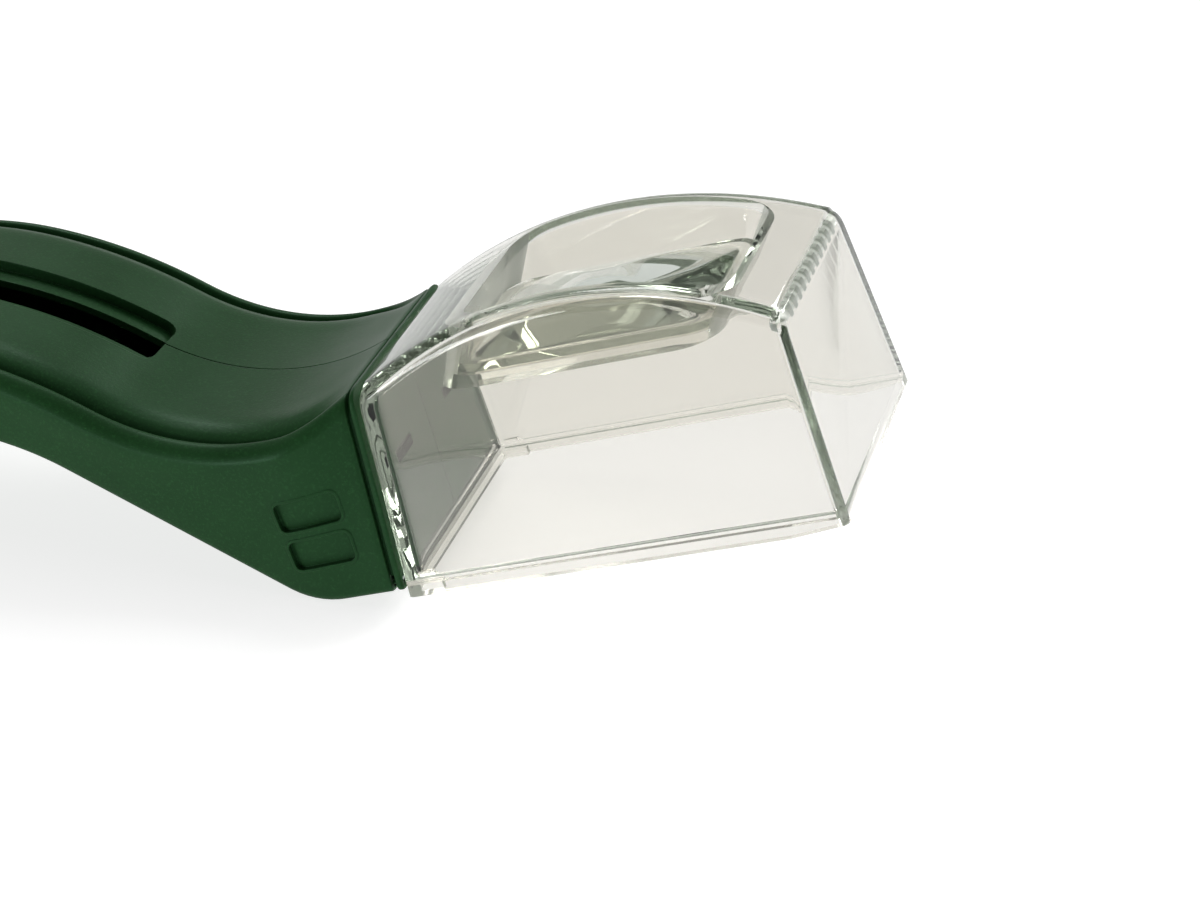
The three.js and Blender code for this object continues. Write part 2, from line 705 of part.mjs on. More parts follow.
function makeCarriage() {
  const hole = screwShaft / 2 + seatGap;
  const recess = screwHead / 2 + seatGap;
  let body = archBar(carriageLength, carriageWidth, carriageCorner, openAngle, carriageBottom, carriageTop);
  const hangerTop = carriageBottom + carriageDepth / 4;
  body = body.add(
    archBar(carriageLength, strapWidth, carriageCorner, openAngle, sheetTop + seatGap, hangerTop),
  );
  body = body.subtract(archTurned(pinProfile(hole, -10, 10), screwPlace, trackRadius + 4));
  body = body.subtract(
    archTurned(pinProfile(recess, -3, screwHeadHeight + 2 * seatGap), screwPlace, sheetTop + seatGap),
  );
  body = body.subtract(archTurned(pinProfile(hole, -3, rivetShaft), rivetPlace, sheetTop));
  return body;
}

function makeButton() {
  const halfWidth = recessWidth / 2 - slideGap;
  const cap = roundedRectangle(capLength / 2, halfWidth, recessCornerRadius - slideGap, 5);
  const low = recessBottom + slideGap;
  const capTop = archRadius + capRise;
  const shoulder = archRadius + 0.4 * capRise;
  const steps = [[1, archRadius + 0.3 * capRise], [1, shoulder], [0.95, archRadius + 0.8 * capRise], [0.86, capTop]];
  const rings = steps.map(([share, radius]) =>
    cap.map((p) => {
      const at = onArch(openAngle - (p.x * share) / archRadius, radius);
      return new THREE.Vector3(at.x, p.y * share, at.y);
    }),
  );
  const base = archBar(capLength, 2 * halfWidth, recessCornerRadius - slideGap, openAngle, low, shoulder);
  const stemWidth = slotWidth - 2 * slideGap;
  const stem = archBar(stemLength, stemWidth, stemCorner, openAngle, carriageTop + seatGap, archRadius);
  let body = loft(rings, inXY).add(base).add(stem);
  for (let i = 0; i < capRibs; i++) {
    const run = (i - (capRibs - 1) / 2) * 2 * capRibWidth;
    const angle = openAngle - run / archRadius;
    body = body.add(archBar(capRibWidth, capRibLength, 0, angle, capTop - 0.5, capTop + capRibHeight));
  }
  const hole = screwShaft / 2 + seatGap;
  return body.subtract(archTurned(pinProfile(hole, -10, buttonHole), screwPlace, low));
}

const screwProfile = (length) => [
  [0, 0],
  [0.8 * (screwHead / 2), 0],
  [screwHead / 2, 0.4],
  [screwHead / 2, screwHeadHeight],
  [screwShaft / 2, screwHeadHeight],
  [screwShaft / 2, screwHeadHeight + length - 1],
  [0, screwHeadHeight + length],
];

function makeButtonScrew() {
  const reach = archRadius - sheetTop - screwHeadHeight - seatGap;
  return archTurned(screwProfile(reach), screwPlace, sheetTop + 1.5 * seatGap);
}

function makeStrapRivet() {
  const profile = [
    [0, 0],
    [rivetHead / 2 - 0.5, 0],
    [rivetHead / 2, 0.4],
    [rivetHead / 2, rivetHeadHeight],
    [screwShaft / 2, rivetHeadHeight],
    [screwShaft / 2, rivetHeadHeight + rivetShaft],
    [0, rivetHeadHeight + rivetShaft],
  ];
  return archTurned(profile, rivetPlace, trackRadius - sheetThickness / 2 - seatGap - rivetHeadHeight);
}

// Screws that hold the two halves: places in X and Z.
const underAt = (angle, above) => onArch(angle, archRadius - depthAt(angle) + handleWall + above);
const bossRadius = screwHead / 2 + seatGap + bossWall;
const lowBossRadius = screwShaft / 2 + seatGap + bossWall;
const screws = [
  { at: new THREE.Vector2(-14, 24), boss: bossRadius },
  { at: new THREE.Vector2(-31, 29), boss: bossRadius },
  { at: underAt(-9 * degree, lowBossRadius - bossSink), boss: lowBossRadius },
  { at: underAt(9 * degree, lowBossRadius - bossSink), boss: lowBossRadius },
  { at: onArch(22 * degree, archRadius - archDepth / 2), boss: lowBossRadius },
];

function makeHandScrew({ at }) {
  const geometry = new THREE.LatheGeometry(
    screwProfile(screwLength).map(([r, h]) => new THREE.Vector2(r, h)),
    14,
  );
  geometry.rotateX(Math.PI);
  geometry.translate(at.x, pinSeat + seatGap + screwHeadHeight, at.y);
  return solid(geometry);
}

function makeHandle() {
  const outer = handleBody(0, 0, noseEnd);
  const inner = handleBody(handleWall, frontWall, noseEnd - noseWall);
  let shell = outer.subtract(inner);
  const entryEnd = openDoor[2]; // a flat piece of the sheet cuts across the heel's bend up to here
  const guideFrom = entryEnd + 1;
  const guideTo = openTail + 3;
  const guideLow = doorHalf + slideGap - guideReach;
  const wide = handleWidth / 2;
  for (const [low, high] of [[-sheetRoom - guideThickness, -sheetRoom], [sheetRoom, sheetRoom + guideThickness]]) {
    const rib = trackBand(guideFrom, guideTo, low, high, guideLow, wide).intersect(outer);
    shell = shell.add(rib).add(mirrored(rib));
  }
  const railFrom = recessFront + 1 * degree;
  const railTo = openAngle + (carriageLength / 2 + 2) / archRadius;
  const railMiddle = (railTo + railFrom) / 2;
  const railIn = carriageWidth / 2 + slideGap;
  const railLength = (railTo - railFrom) * archRadius;
  const wallSide = railIn + railThickness / 2;
  const wall = archBar(railLength, railThickness, 0, railMiddle, ledgeLow, archRadius - 1, wallSide);
  const ledgeWidth = railLip + railThickness / 2;
  const ledgeSide = railIn + railThickness / 2 - ledgeWidth / 2;
  const ledge = archBar(railLength, ledgeWidth, 0, railMiddle, ledgeLow, ledgeTop, ledgeSide);
  const rail = wall.add(ledge).intersect(outer);
  shell = shell.add(rail).add(mirrored(rail));
  for (const { at, boss } of screws) {
    shell = shell.add(cylinderAlongY(boss, at.x, at.y, -wide, wide).intersect(outer));
  }
  const entry = trackBand(-boxWall, entryEnd, -grooveRoom, 4 * grooveRoom, -grooveHalf, grooveHalf);
  const passage = trackBand(heelTrackEnd, guideTo + 1, -sheetRoom, sheetRoom, -grooveHalf, grooveHalf);
  shell = shell.subtract(entry).subtract(passage);
  const recessRear = openAngle + capRun;
  const slotRear = openAngle + (stemLength / 2 + recessEnd) / archRadius;
  const alongRecess = (from, to, width, corner, low, high) =>
    archBar((to - from) * archRadius, width, corner, (to + from) / 2, low, high);
  const ends = handleWall / archRadius;
  const floorWidth = 2 * (railIn + railThickness);
  const floorLow = recessBottom - recessFloor;
  const floor = alongRecess(recessFront - ends, recessRear + ends, floorWidth, 0, floorLow, archRadius - 1);
  shell = shell.add(floor.intersect(outer));
  const above = archRadius + 4;
  shell = shell
    .subtract(alongRecess(recessFront, recessRear, recessWidth, recessCornerRadius, recessBottom, above))
    .subtract(alongRecess(recessFront, slotRear, slotWidth, 0, floorLow - 1, above));
  for (const { at } of screws) {
    const hole = screwShaft / 2 + seatGap;
    shell = shell.subtract(cylinderAlongY(hole, at.x, at.y, pinSeat - screwLength - 1, wide, 12));
    shell = shell.subtract(cylinderAlongY(screwHead / 2 + seatGap, at.x, at.y, pinSeat, wide + 1));
  }
  for (const side of [-1, 1]) {
    const y = side * hookOffset;
    const reach = hookWidth / 2 + seatGap;
    shell = shell.subtract(
      boxBetween(
        [-frontWall - 2 * seatGap, y - reach, hookHeight - seatGap],
        [boxWall, y + reach, hookHeight + hookThickness + seatGap],
      ),
    );
  }
  for (const z of panelHeights) {
    const outline = roundedRectangle(panelLength / 2, panelHeight / 2, panelCornerRadius).map(
      (p) => new THREE.Vector2(p.x - panelRear + panelLength / 2, p.y + z),
    );
    const keep = handleBody(panelDepth, lipWidth, noseEnd - noseWall);
    shell = shell.subtract(slab(outline, -wide - 2, 0).subtract(keep).subtract(inner));
  }
  return shell;
}

const farAway = 400;
const handle = makeHandle();
const leftSpace = boxBetween([-farAway, seatGap / 2, -farAway], [farAway, farAway, farAway]);
const rightSpace = boxBetween([-farAway, -farAway, -farAway], [farAway, -seatGap / 2, farAway]);

// One flat piece of the sheet between two points of the path.
function sheetPiece(from, to, halfWidth) {
  const run = to.clone().sub(from).normalize();
  const normal = new THREE.Vector2(-run.y, run.x).multiplyScalar(sheetThickness / 2);
  const start = from.clone().addScaledVector(run, pieceGap / 2);
  const end = to.clone().addScaledVector(run, -pieceGap / 2);
  const outline = [
    start.clone().add(normal),
    end.clone().add(normal),
    end.clone().sub(normal),
    start.clone().sub(normal),
  ];
  return slab(outline, -halfWidth, halfWidth);
}

// Materials
const greenPlastic = new THREE.MeshStandardMaterial({ color: 0x28462b, roughness: 0.5, metalness: 0 });
const blackPlastic = new THREE.MeshStandardMaterial({ color: 0x16181a, roughness: 0.45, metalness: 0 });
const steel = new THREE.MeshStandardMaterial({ color: 0xb8bcc0, roughness: 0.3, metalness: 1 });
const clearPlastic = new THREE.MeshStandardMaterial({
  color: 0xe8e6df,
  roughness: 0.05,
  metalness: 0,
  transparent: true,
  opacity: 0.35,
});

const catcher = new THREE.Group();

function addPiece(name, body, material) {
  const mesh = new THREE.Mesh(geometryOf(body), material);
  mesh.name = name;
  catcher.add(mesh);
  return mesh;
}

addPiece("clear_box", makeBox(), clearPlastic);
addPiece("magnifier_lens", makeLens(), clearPlastic);
const leftHalf = addPiece("handle_left", handle.intersect(leftSpace), greenPlastic);
addPiece("handle_right", handle.intersect(rightSpace), greenPlastic);
addPiece("thumb_button", makeButton(), greenPlastic);
addPiece("slide_carriage", makeCarriage(), blackPlastic);
addPiece("button_screw", makeButtonScrew(), steel);
addPiece("strap_rivet", makeStrapRivet(), steel);
screws.forEach((screw, i) => addPiece(`handle_screw_${i + 1}`, makeHandScrew(screw), steel));

for (let i = 0; i < doorPieces; i++) {
  const body = sheetPiece(onTrack(openDoor[i]), onTrack(openDoor[i + 1]), doorHalf);
  addPiece(`door_sheet_${i + 1}`, body, clearPlastic);
}
for (let i = 0; i < strapPieces; i++) {
  let body = sheetPiece(onTrack(openStrap[i]), onTrack(openStrap[i + 1]), strapWidth / 2);
  if (i + 1 === strapPieces) {
    const hole = screwShaft / 2 + seatGap;
    body = body.subtract(archTurned(pinProfile(hole, -3, 3), rivetPlace, trackRadius));
  }
  addPiece(`pull_strap_${i + 1}`, body, blackPlastic);
}

// The turn that carries one flat piece of the sheet from its open to its shut place.
function turnOf(openFrom, openTo, shutFrom, shutTo) {
  const openRun = openTo.clone().sub(openFrom);
  const shutRun = shutTo.clone().sub(shutFrom);
  // A positive turn about +Y carries +Z towards +X.
  const angle = openRun.angle() - shutRun.angle();
  const turn = Math.atan2(Math.sin(angle), Math.cos(angle));
  const middle = openFrom.clone().add(shutFrom).multiplyScalar(0.5);
  const gap = shutFrom.clone().sub(openFrom);
  const reach = 1 / (2 * Math.tan(turn / 2));
  return { pivot: new THREE.Vector2(middle.x + gap.y * reach, middle.y - gap.x * reach), turn };
}

// How the parts move, in the box's frame: hinges about +Y, and slides along +X.
const motion = [{ piece: "thumb_button", pivot: arch, turn: slideAngle }];
motion.push({ piece: "door_sheet_1", slide: doorTravel });
const shutPoint = (i) => new THREE.Vector2(shutFront - i * doorPitch, doorHeight);
for (let i = 1; i < doorPieces; i++) {
  const turned = turnOf(onTrack(openDoor[i]), onTrack(openDoor[i + 1]), shutPoint(i), shutPoint(i + 1));
  motion.push({ piece: `door_sheet_${i + 1}`, ...turned });
}
for (let i = 0; i + 1 < strapPieces; i++) {
  const turned = turnOf(
    onTrack(openStrap[i]),
    onTrack(openStrap[i + 1]),
    onTrack(shutStrap[i]),
    onTrack(shutStrap[i + 1]),
  );
  motion.push({ piece: `pull_strap_${i + 1}`, ...turned });
}

// At rest the catcher leans back on the heel and the tail of its handle.
function lowest(tilt, inPart) {
  const place = leftHalf.geometry.attributes.position;
  let low = Infinity;
  for (let i = 0; i < place.count; i++) {
    if (!inPart(place.getX(i))) continue;
    low = Math.min(low, place.getX(i) * Math.sin(tilt) + place.getZ(i) * Math.cos(tilt));
  }
  return low;
}

function restTilt() {
  let low = 0;
  let high = 40 * degree;
  for (let i = 0; i < 40; i++) {
    const tilt = (low + high) / 2;
    const heel = lowest(tilt, (x) => x > saddleEnd.x);
    const tail = lowest(tilt, (x) => x <= saddleEnd.x);
    if (tail > heel) low = tilt;
    else high = tilt;
  }
  return (low + high) / 2;
}

const tilt = restTilt();
catcher.rotation.y = -tilt;
catcher.updateMatrixWorld(true);
const reach = new THREE.Box3().setFromObject(catcher, true);
catcher.position.set(-(reach.min.x + reach.max.x) / 2, 0, -reach.min.z);
catcher.userData = { tilt, motion };

export default catcher;
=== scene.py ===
# Bug catcher: a clear box with a magnifier in its arched roof, on a hollow curved handle with a
# thumb button that slides a thin door under the box.
# Shapes are drawn in millimetres in the box's own frame, +X forward from its rear wall, +Y to the
# left of the hand that holds it and +Z up from the rim, and then placed as the catcher rests.
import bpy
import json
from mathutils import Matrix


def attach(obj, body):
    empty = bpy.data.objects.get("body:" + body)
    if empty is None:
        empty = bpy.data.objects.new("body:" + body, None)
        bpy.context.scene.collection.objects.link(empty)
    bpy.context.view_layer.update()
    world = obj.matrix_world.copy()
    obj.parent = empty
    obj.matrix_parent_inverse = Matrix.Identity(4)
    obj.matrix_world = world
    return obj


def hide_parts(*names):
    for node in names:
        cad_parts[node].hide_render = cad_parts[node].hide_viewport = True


bl_info = {
    "name": "Bug catcher",
    "version": (1, 0, 0),
    "blender": (4, 5, 0),
    "location": "View3D > Sidebar > Catcher",
    "description": "Builds the bug catcher's clear box, magnifier, handle, button and door",
    "category": "Add Mesh",
}

import json
import math
from types import SimpleNamespace

import bmesh
import bpy
from bpy.props import FloatProperty, FloatVectorProperty, IntProperty, PointerProperty
from mathutils import Matrix, Vector

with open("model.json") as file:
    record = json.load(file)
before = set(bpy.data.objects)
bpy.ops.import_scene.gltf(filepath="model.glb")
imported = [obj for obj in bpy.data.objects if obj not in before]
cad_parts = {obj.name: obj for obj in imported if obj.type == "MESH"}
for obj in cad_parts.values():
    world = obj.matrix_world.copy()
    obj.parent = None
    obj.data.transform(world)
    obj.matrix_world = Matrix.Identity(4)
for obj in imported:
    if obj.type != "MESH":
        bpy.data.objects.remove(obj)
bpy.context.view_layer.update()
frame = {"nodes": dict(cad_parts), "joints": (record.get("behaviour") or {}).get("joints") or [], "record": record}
FIXED_BODY = "handle_and_box"
SLIDER_BODY = "thumb_slider"

# In millimetres, in which the shapes are drawn
METRE = 1000

# The catcher rests on its heel and tail. The box's tilt comes from the door's slide, and the place
# of the box's frame from a known point of the rim.
RIM_POINT = (37.0, 29.0, -0.9)


def resting_place():
    joints = {joint["name"]: joint for joint in frame["joints"]}
    axis = joints["door_slide"]["axis"]
    mounts = {mount["name"]: mount for mount in frame["record"]["mounts"]}
    turn = Matrix.Rotation(-math.atan2(axis[2], axis[0]), 4, "Y")
    rim = Vector(mounts["rim_face"]["pos_m"]) * METRE
    place = Matrix.Translation(rim - turn @ Vector(RIM_POINT))
    return Matrix.Scale(1 / METRE, 4) @ place @ turn


BOX_TO_ROW = resting_place()


# Sizes and colours that a user would change

def size(name, default, text):
    return FloatProperty(name=name, description=text, default=default, min=0.0, unit="LENGTH")


def amount(name, default, text, low=0.0):
    return FloatProperty(name=name, description=text, default=default, min=low)


def number_of(name, default, text):
    return IntProperty(name=name, description=text, default=default, min=1)


def colour(name, default, text):
    return FloatVectorProperty(
        name=name, description=text, default=default, subtype="COLOR", size=3, min=0.0, max=1.0
    )


class CatcherBoxSettings(bpy.types.PropertyGroup):
    length: size("Length", 0.085, "Length of the clear box along its rim")
    width: size("Width", 0.060, "Width of the clear box across its rim")
    height: size("Height", 0.0385, "Height of the roof's four corners above the rim")
    roof_rise: size("Roof rise", 0.0102, "Peak of the arched roof above its corners")
    wall: size("Wall", 0.002, "Thickness of the clear walls")
    edge_radius: size("Edge radius", 0.0035, "Radius of the roof's long edges")
    corner_radius: size("Corner radius", 0.0014, "Radius of the upright corner edges")
    vents: number_of("Vents", 11, "Notches in the front edge")


class CatcherLensSettings(bpy.types.PropertyGroup):
    length: size("Length", 0.051, "Length of the magnifier's well on its floor")
    width: size("Width", 0.038, "Width of the magnifier's well on its floor")
    rim: size("Rim", 0.0016, "Thickness of the magnifier's flat rim")
    crown: size("Crown", 0.0052, "Height of the magnifier's crowned face above its rim")


class CatcherHandleSettings(bpy.types.PropertyGroup):
    width: size("Width", 0.064, "Width of the handle behind the box")
    tail_width: size("Tail width", 0.042, "Width of the handle near its tail")
    arch_radius: size("Arch radius", 0.110, "Radius of the arched back")
    arch_depth: size("Arch depth", 0.019, "Thickness of the arched back")
    wall: size("Wall", 0.002, "Thickness of the handle's shell")
    ridge_inset: size("Ridge inset", 0.0026, "Distance of the ridge from the handle's side")


class CatcherButtonSettings(bpy.types.PropertyGroup):
    length: size("Length", 0.022, "Length of the thumb button")
    rise: size("Rise", 0.0044, "Height of the thumb button above the handle")
    ribs: number_of("Ribs", 5, "Grip ribs on the button")
    rib_length: size("Rib length", 0.011, "Length of each grip rib across the button")


class CatcherFinishSettings(bpy.types.PropertyGroup):
    clear: colour("Clear plastic", (0.925, 0.905, 0.865), "Tint of the clear box")
    lens: colour("Lens", (0.93, 0.94, 0.92), "Tint of the magnifier")
    green: colour("Green plastic", (0.0135, 0.056, 0.0155), "Colour of the handle")
    black: colour("Black plastic", (0.012, 0.013, 0.014), "Colour of the carriage and strap")
    steel: colour("Steel", (0.62, 0.63, 0.65), "Colour of the screws")
    door: colour("Door sheet", (0.84, 0.87, 0.85), "Tint of the thin door sheet")


class CatcherStageSettings(bpy.types.PropertyGroup):
    lens_length: amount("Focal length", 90.0, "Camera's focal length in millimetres", 1.0)
    floor_size: size("Floor size", 8.0, "Side of the pale floor")
    bounces: number_of("Bounces", 40, "Light bounces inside the clear walls")
    softbox_power: amount("Softbox power", 4.0, "Power of the softbox behind in watts")
    top_power: amount("Top power", 2.5, "Power of the light overhead in watts")
    front_power: amount("Front power", 3.0, "Power of the front light in watts")
    fill: amount("Fill", 0.45, "Light of the surroundings on the object")


SETTINGS = {
    "catcher_box": CatcherBoxSettings,
    "catcher_lens": CatcherLensSettings,
    "catcher_handle": CatcherHandleSettings,
    "catcher_button": CatcherButtonSettings,
    "catcher_finish": CatcherFinishSettings,
    "catcher_stage": CatcherStageSettings,
}


def sizes_of(name):
    """The lengths of one group of settings in millimetres, and its counts as they are."""
    group = getattr(bpy.context.scene, name)
    values = {key: getattr(group, key) for key in SETTINGS[name].__annotations__}
    return SimpleNamespace(
        **{key: METRE * value if isinstance(value, float) else value for key, value in values.items()}
    )


# Sizes that the pieces share, in millimetres, and angles

SEAT_GAP, SLIDE_GAP = 0.3, 0.4

# How far a cutting shape reaches past what it cuts, and a length beyond every piece
PAST = 1.0
FAR = 400

# Clear box
RIM_DROP, RIM_DROP_END = 0.9, 11.0
SIDE_LEAN, FRONT_LEAN, REAR_LEAN = 4.5, 2.5, 1.4
INNER_REAR_CORNER, INNER_FRONT_CORNER, INNER_EDGE = 2.2, 1.2, 0.8
GROOVE_DEPTH, GROOVE_ROOM, GROOVE_LIP = 1.1, 0.5, 0.25
DOOR_HEIGHT = 1.5
STOP_LENGTH, STOP_HEIGHT, STOP_REACH, STOP_CHAMFER = 7.0, 3.0, 0.8, 1.4
VENT_WIDTH, VENT_BACK, VENT_FRONT = 1.5, 1.2, 0.7
HOOK_OFFSET, HOOK_WIDTH, HOOK_HEIGHT, HOOK_THICKNESS, HOOK_BARB = 14.0, 8.0, 21.0, 2.0, 1.6

# The magnifier's well, and the magnifier's crown: its share of the lens, its foot and its rings
WELL_FLOOR, WELL_FLOOR_THICKNESS, WELL_START = 36.0, 2.0, 17.0
WELL_SHEAR, WELL_DRAFT, WELL_CORNER, WELL_SEAT = 0.6, 0.08, 6.0, 3.5
CROWN_SHARE, CROWN_FOOT, CROWN_RINGS = 0.88, 0.12, 20

# Handle
FRONT_WALL = 3.9
HEEL_HEIGHT, HEEL_FLAT, HEEL_RADIUS = 0.45, 12.5, 15.0
CLIMB = math.radians(41.5)
SADDLE_RADIUS, SADDLE_LOW, SADDLE_HEIGHT = 47.0, 16.6, 35.65
SWELL_END = math.radians(-12)
TAPER_START, NOSE_START, NOSE_END = math.radians(-24), math.radians(17), math.radians(29)
NOSE_WALL, NOSE_PART, NOSE_WIDTH = math.radians(3.5), 0.985, 0.3
PROUD = 0.3
SKIRT_DRAFT, SKIRT_DROP, RIDGE_DROP, CREASE_DROP, CREASE_INSET = 1.6, 4.7, 1.72, 3.2, 4.6
CUSHION_INSET, TOP_CROWN, COVE_RUN, UNDER_EDGE = 9.5, 0.4, 16.0, 1.6
HOLLOW_DROP, HOLLOW_CROWN = 2.6, 0.75
PANEL_LENGTH, PANEL_HEIGHT, PANEL_REAR, PANEL_DEPTH, PANEL_CORNER = 11.8, 5.9, 19.0, 1.1, 1.3
PANEL_MIDDLES = (19.3, 11.2)
PANEL_RIM, PANEL_RIM_HEIGHT, PANEL_REACH = 0.55, 0.16, 5

# The lip behind the box and the reveal behind the lip: how far back each ring of the handle is,
# and how deep it lies under the skin
LIP_WIDTH, REVEAL_WIDTH, REVEAL_DEPTH = 1.2, 0.9, 1.1
REVEAL_END = LIP_WIDTH + REVEAL_WIDTH
LIP_RINGS = (
    (0.0, 0.35),
    (0.12, 0.12),
    (0.4, 0.0),
    (LIP_WIDTH - 0.3, 0.0),
    (LIP_WIDTH - 0.05, 0.15),
    (LIP_WIDTH, REVEAL_DEPTH),
    (REVEAL_END, REVEAL_DEPTH),
    (REVEAL_END + 0.05, 0.2),
)
SKIN_START = REVEAL_END + 0.45

# Upper edge of the hollow in the handle: how far in from the wall each point is, and how far
# below the hollow's edge, and then what share of the way up to the hollow's crown it is
HOLLOW_EDGE = ((0.35, 0.9), (1, 0.4), (1.6, 0.1), (2, 0.0))
HOLLOW_TOP = ((2.6, 0.4), (3.4, 0.8), (5.0, 1.0))
HOLLOW_MIDDLE = 8.0

# From this depth under the surface on, a section is the hollow's
HOLLOW_INSET = 1.5

# Places along the handle's section in front, as shares of the box's edge radius from its side
FLAT_STEPS = (1.6, 2.2, 3, 5)

# Door and strap on their track
SHEET, GUIDE_ROOM = 0.4, 0.45
TRACK_RADIUS = 101.05
DOOR_PIECES, DOOR_PITCH, DOOR_SETBACK, STRAP_PIECES = 6, 14.0, 0.8, 5

# The thumb button and its recess
RECESS_WIDTH, RECESS_DEPTH, RECESS_FLOOR, RECESS_CORNER = 15.8, 2.2, 1.4, 3.0
RECESS_LEAD, RECESS_END, RECESS_FLOOR_WIDTH = 2.7, 1.0, 22.8
SLOT_WIDTH, STEM_LENGTH, STEM_CORNER = 7.6, 12.0, 1.0

# The top of the button's base above the arch, and its crown: the share of its outline at heights
# above the arch, then at shares of its rise, and then towards the middle of its dished top
BUTTON_BASE = 1.5
BUTTON_SIDE = ((1.0, 1.3), (1.0, 1.7), (0.985, 2.6), (0.955, 3.4))
BUTTON_SHOULDER = ((0.91, 0.91), (0.86, 0.97), (0.8, 1.0))
BUTTON_DISH_SHARES, BUTTON_DISH = (0.6, 0.4, 0.2, 0.05), 0.5

# Each layer of a grip rib: how much smaller its outline is, its corners, and its foot and top
# above the button
RIB_PITCH, RIB_WIDTH = 2.8, 1.4
RIB_LAYERS = ((0.0, 0.55, -1.0, 0.6), (0.5, 0.35, 0.0, 0.9))

# Screws and their seats in the handle
SCREW_SHAFT, SCREW_HEAD, SCREW_HEAD_HEIGHT, SCREW_LENGTH = 2.0, 4.2, 1.5, 13.0
SCREW_HEAD_ROUND = ((0.55, 0.0), (0.8, 0.08), (0.95, 0.3), (1.0, 0.6))
THREAD_PITCH, THREAD_ROOT = 0.8, 0.82
TIP_LENGTH, TIP_RADIUS = 0.6, 0.1
CROSS_REACH, CROSS_HALF, CROSS_DEPTH = 1.3, 0.28, 0.75
BOSS_WALL, BOSS_SINK, PIN_SEAT = 1.4, 0.3, 7.0
FRONT_SCREWS = ((-14.0, 24.0), (-31.0, 29.0))
UNDER_SCREWS = (math.radians(-9), math.radians(9))
TAIL_SCREW = math.radians(22)


def lerp(a, b, share):
    return a + (b - a) * share


def smooth(value):
    value = min(max(value, 0.0), 1.0)
    return value * value * (3 - 2 * value)


def near(value, middle, reach):
    return abs(value - middle) < reach


# Meshes

def mesh_object(name, mesh):
    piece = bpy.data.objects.new(name, mesh)
    bpy.context.scene.collection.objects.link(piece)
    return piece


def body_of_rings(name, rings):
    """A closed skin through rings of equal count, with a face on each end."""
    count = len(rings[0])
    points = [point for ring in rings for point in ring]
    faces = []
    for k in range(len(rings) - 1):
        for j in range(count):
            a = k * count + j
            b = k * count + (j + 1) % count
            faces.append((a, b, b + count, a + count))
    last = (len(rings) - 1) * count
    faces.append(tuple(reversed(range(count))))
    faces.append(tuple(range(last, last + count)))
    mesh = bpy.data.meshes.new(name)
    mesh.from_pydata(points, [], faces)
    turn_outwards(mesh)
    return mesh_object(name, mesh)


def turn_outwards(mesh):
    shape = bmesh.new()
    shape.from_mesh(mesh)
    bmesh.ops.remove_doubles(shape, verts=shape.verts, dist=1e-5)
    bmesh.ops.recalc_face_normals(shape, faces=shape.faces)
    if shape.calc_volume(signed=True) < 0:
        bmesh.ops.reverse_faces(shape, faces=shape.faces)
    shape.to_mesh(mesh)
    shape.free()


def block(name, low, high):
    """A box between two corners."""
    (x_low, y_low, z_low), (x_high, y_high, z_high) = low, high
    outline = ((y_low, z_low), (y_high, z_low), (y_high, z_high), (y_low, z_high))
    return body_of_rings(name, [[(x, y, z) for y, z in outline] for x in (x_low, x_high)])


def slab(name, outline, y_low, y_high):
    """An outline in X and Z, drawn out along Y."""
    return body_of_rings(name, [[(x, y, z) for x, z in outline] for y in (y_low, y_high)])


def tube_along_y(name, radius, x, z, y_low, y_high, sides=40):
    turns = [2 * math.pi * i / sides for i in range(sides)]
    outline = [(x + radius * math.cos(t), z + radius * math.sin(t)) for t in turns]
    return slab(name, outline, y_low, y_high)


def plain_mesh(piece):
    """The piece's shape with its modifiers applied."""
    graph = bpy.context.evaluated_depsgraph_get()
    mesh = bpy.data.meshes.new_from_object(piece.evaluated_get(graph), depsgraph=graph)
    piece.modifiers.clear()
    old = piece.data
    piece.data = mesh
    bpy.data.meshes.remove(old)


def combine(piece, other, operation, keep=False):
    change = piece.modifiers.new("combine", "BOOLEAN")
    change.operation = operation
    change.solver = "MANIFOLD"
    change.object = other
    plain_mesh(piece)
    if not keep:
        bpy.data.objects.remove(other)
    return piece


def cut(piece, *tools):
    for tool in tools:
        combine(piece, tool, "DIFFERENCE")
    return piece


def add(piece, *others):
    for other in others:
        combine(piece, other, "UNION")
    return piece


def inside(piece, other, keep=False):
    return combine(piece, other, "INTERSECT", keep)


def copy_of(piece, name):
    return mesh_object(name, piece.data.copy())


def mirrored(piece, name):
    twin = copy_of(piece, name)
    twin.data.transform(Matrix.Scale(-1, 4, Vector((0, 1, 0))))
    twin.data.flip_normals()
    return twin


def dress(mesh, slot):
    """Gives a whole mesh the finish of one material slot."""
    mesh.materials.clear()
    mesh.materials.append(material_for(slot))
    for face in mesh.polygons:
        face.material_index = 0


def place_piece(piece, body, slot, nodes, sharp=40):
    """Puts a finished piece where the catcher rests, ties it to its body, and hides the CAD nodes it stands in
    for.
    """
    mesh = piece.data
    mesh.transform(BOX_TO_ROW)
    mesh.shade_smooth()
    mesh.set_sharp_from_angle(angle=math.radians(sharp))
    dress(mesh, slot)
    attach(piece, body)
    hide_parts(*nodes)


def rounded_rectangle(half_length, half_width, radius, steps=8, sides=1):
    """Points round a rounded rectangle, with each straight side in a number of parts."""
    points = []
    signs = ((1, 1), (-1, 1), (-1, -1), (1, -1))
    for corner, (sx, sy) in enumerate(signs):
        for i in range(steps + 1):
            angle = (corner + i / steps) * math.pi / 2
            x = sx * (half_length - radius) + radius * math.cos(angle)
            y = sy * (half_width - radius) + radius * math.sin(angle)
            points.append((x, y))
    if sides == 1:
        return points
    full = []
    for i, point in enumerate(points):
        full.append(point)
        after = points[(i + 1) % len(points)]
        if (i + 1) % (steps + 1) == 0:
            for k in range(1, sides):
                share = k / sides
                full.append((lerp(point[0], after[0], share), lerp(point[1], after[1], share)))
    return full


# Node trees

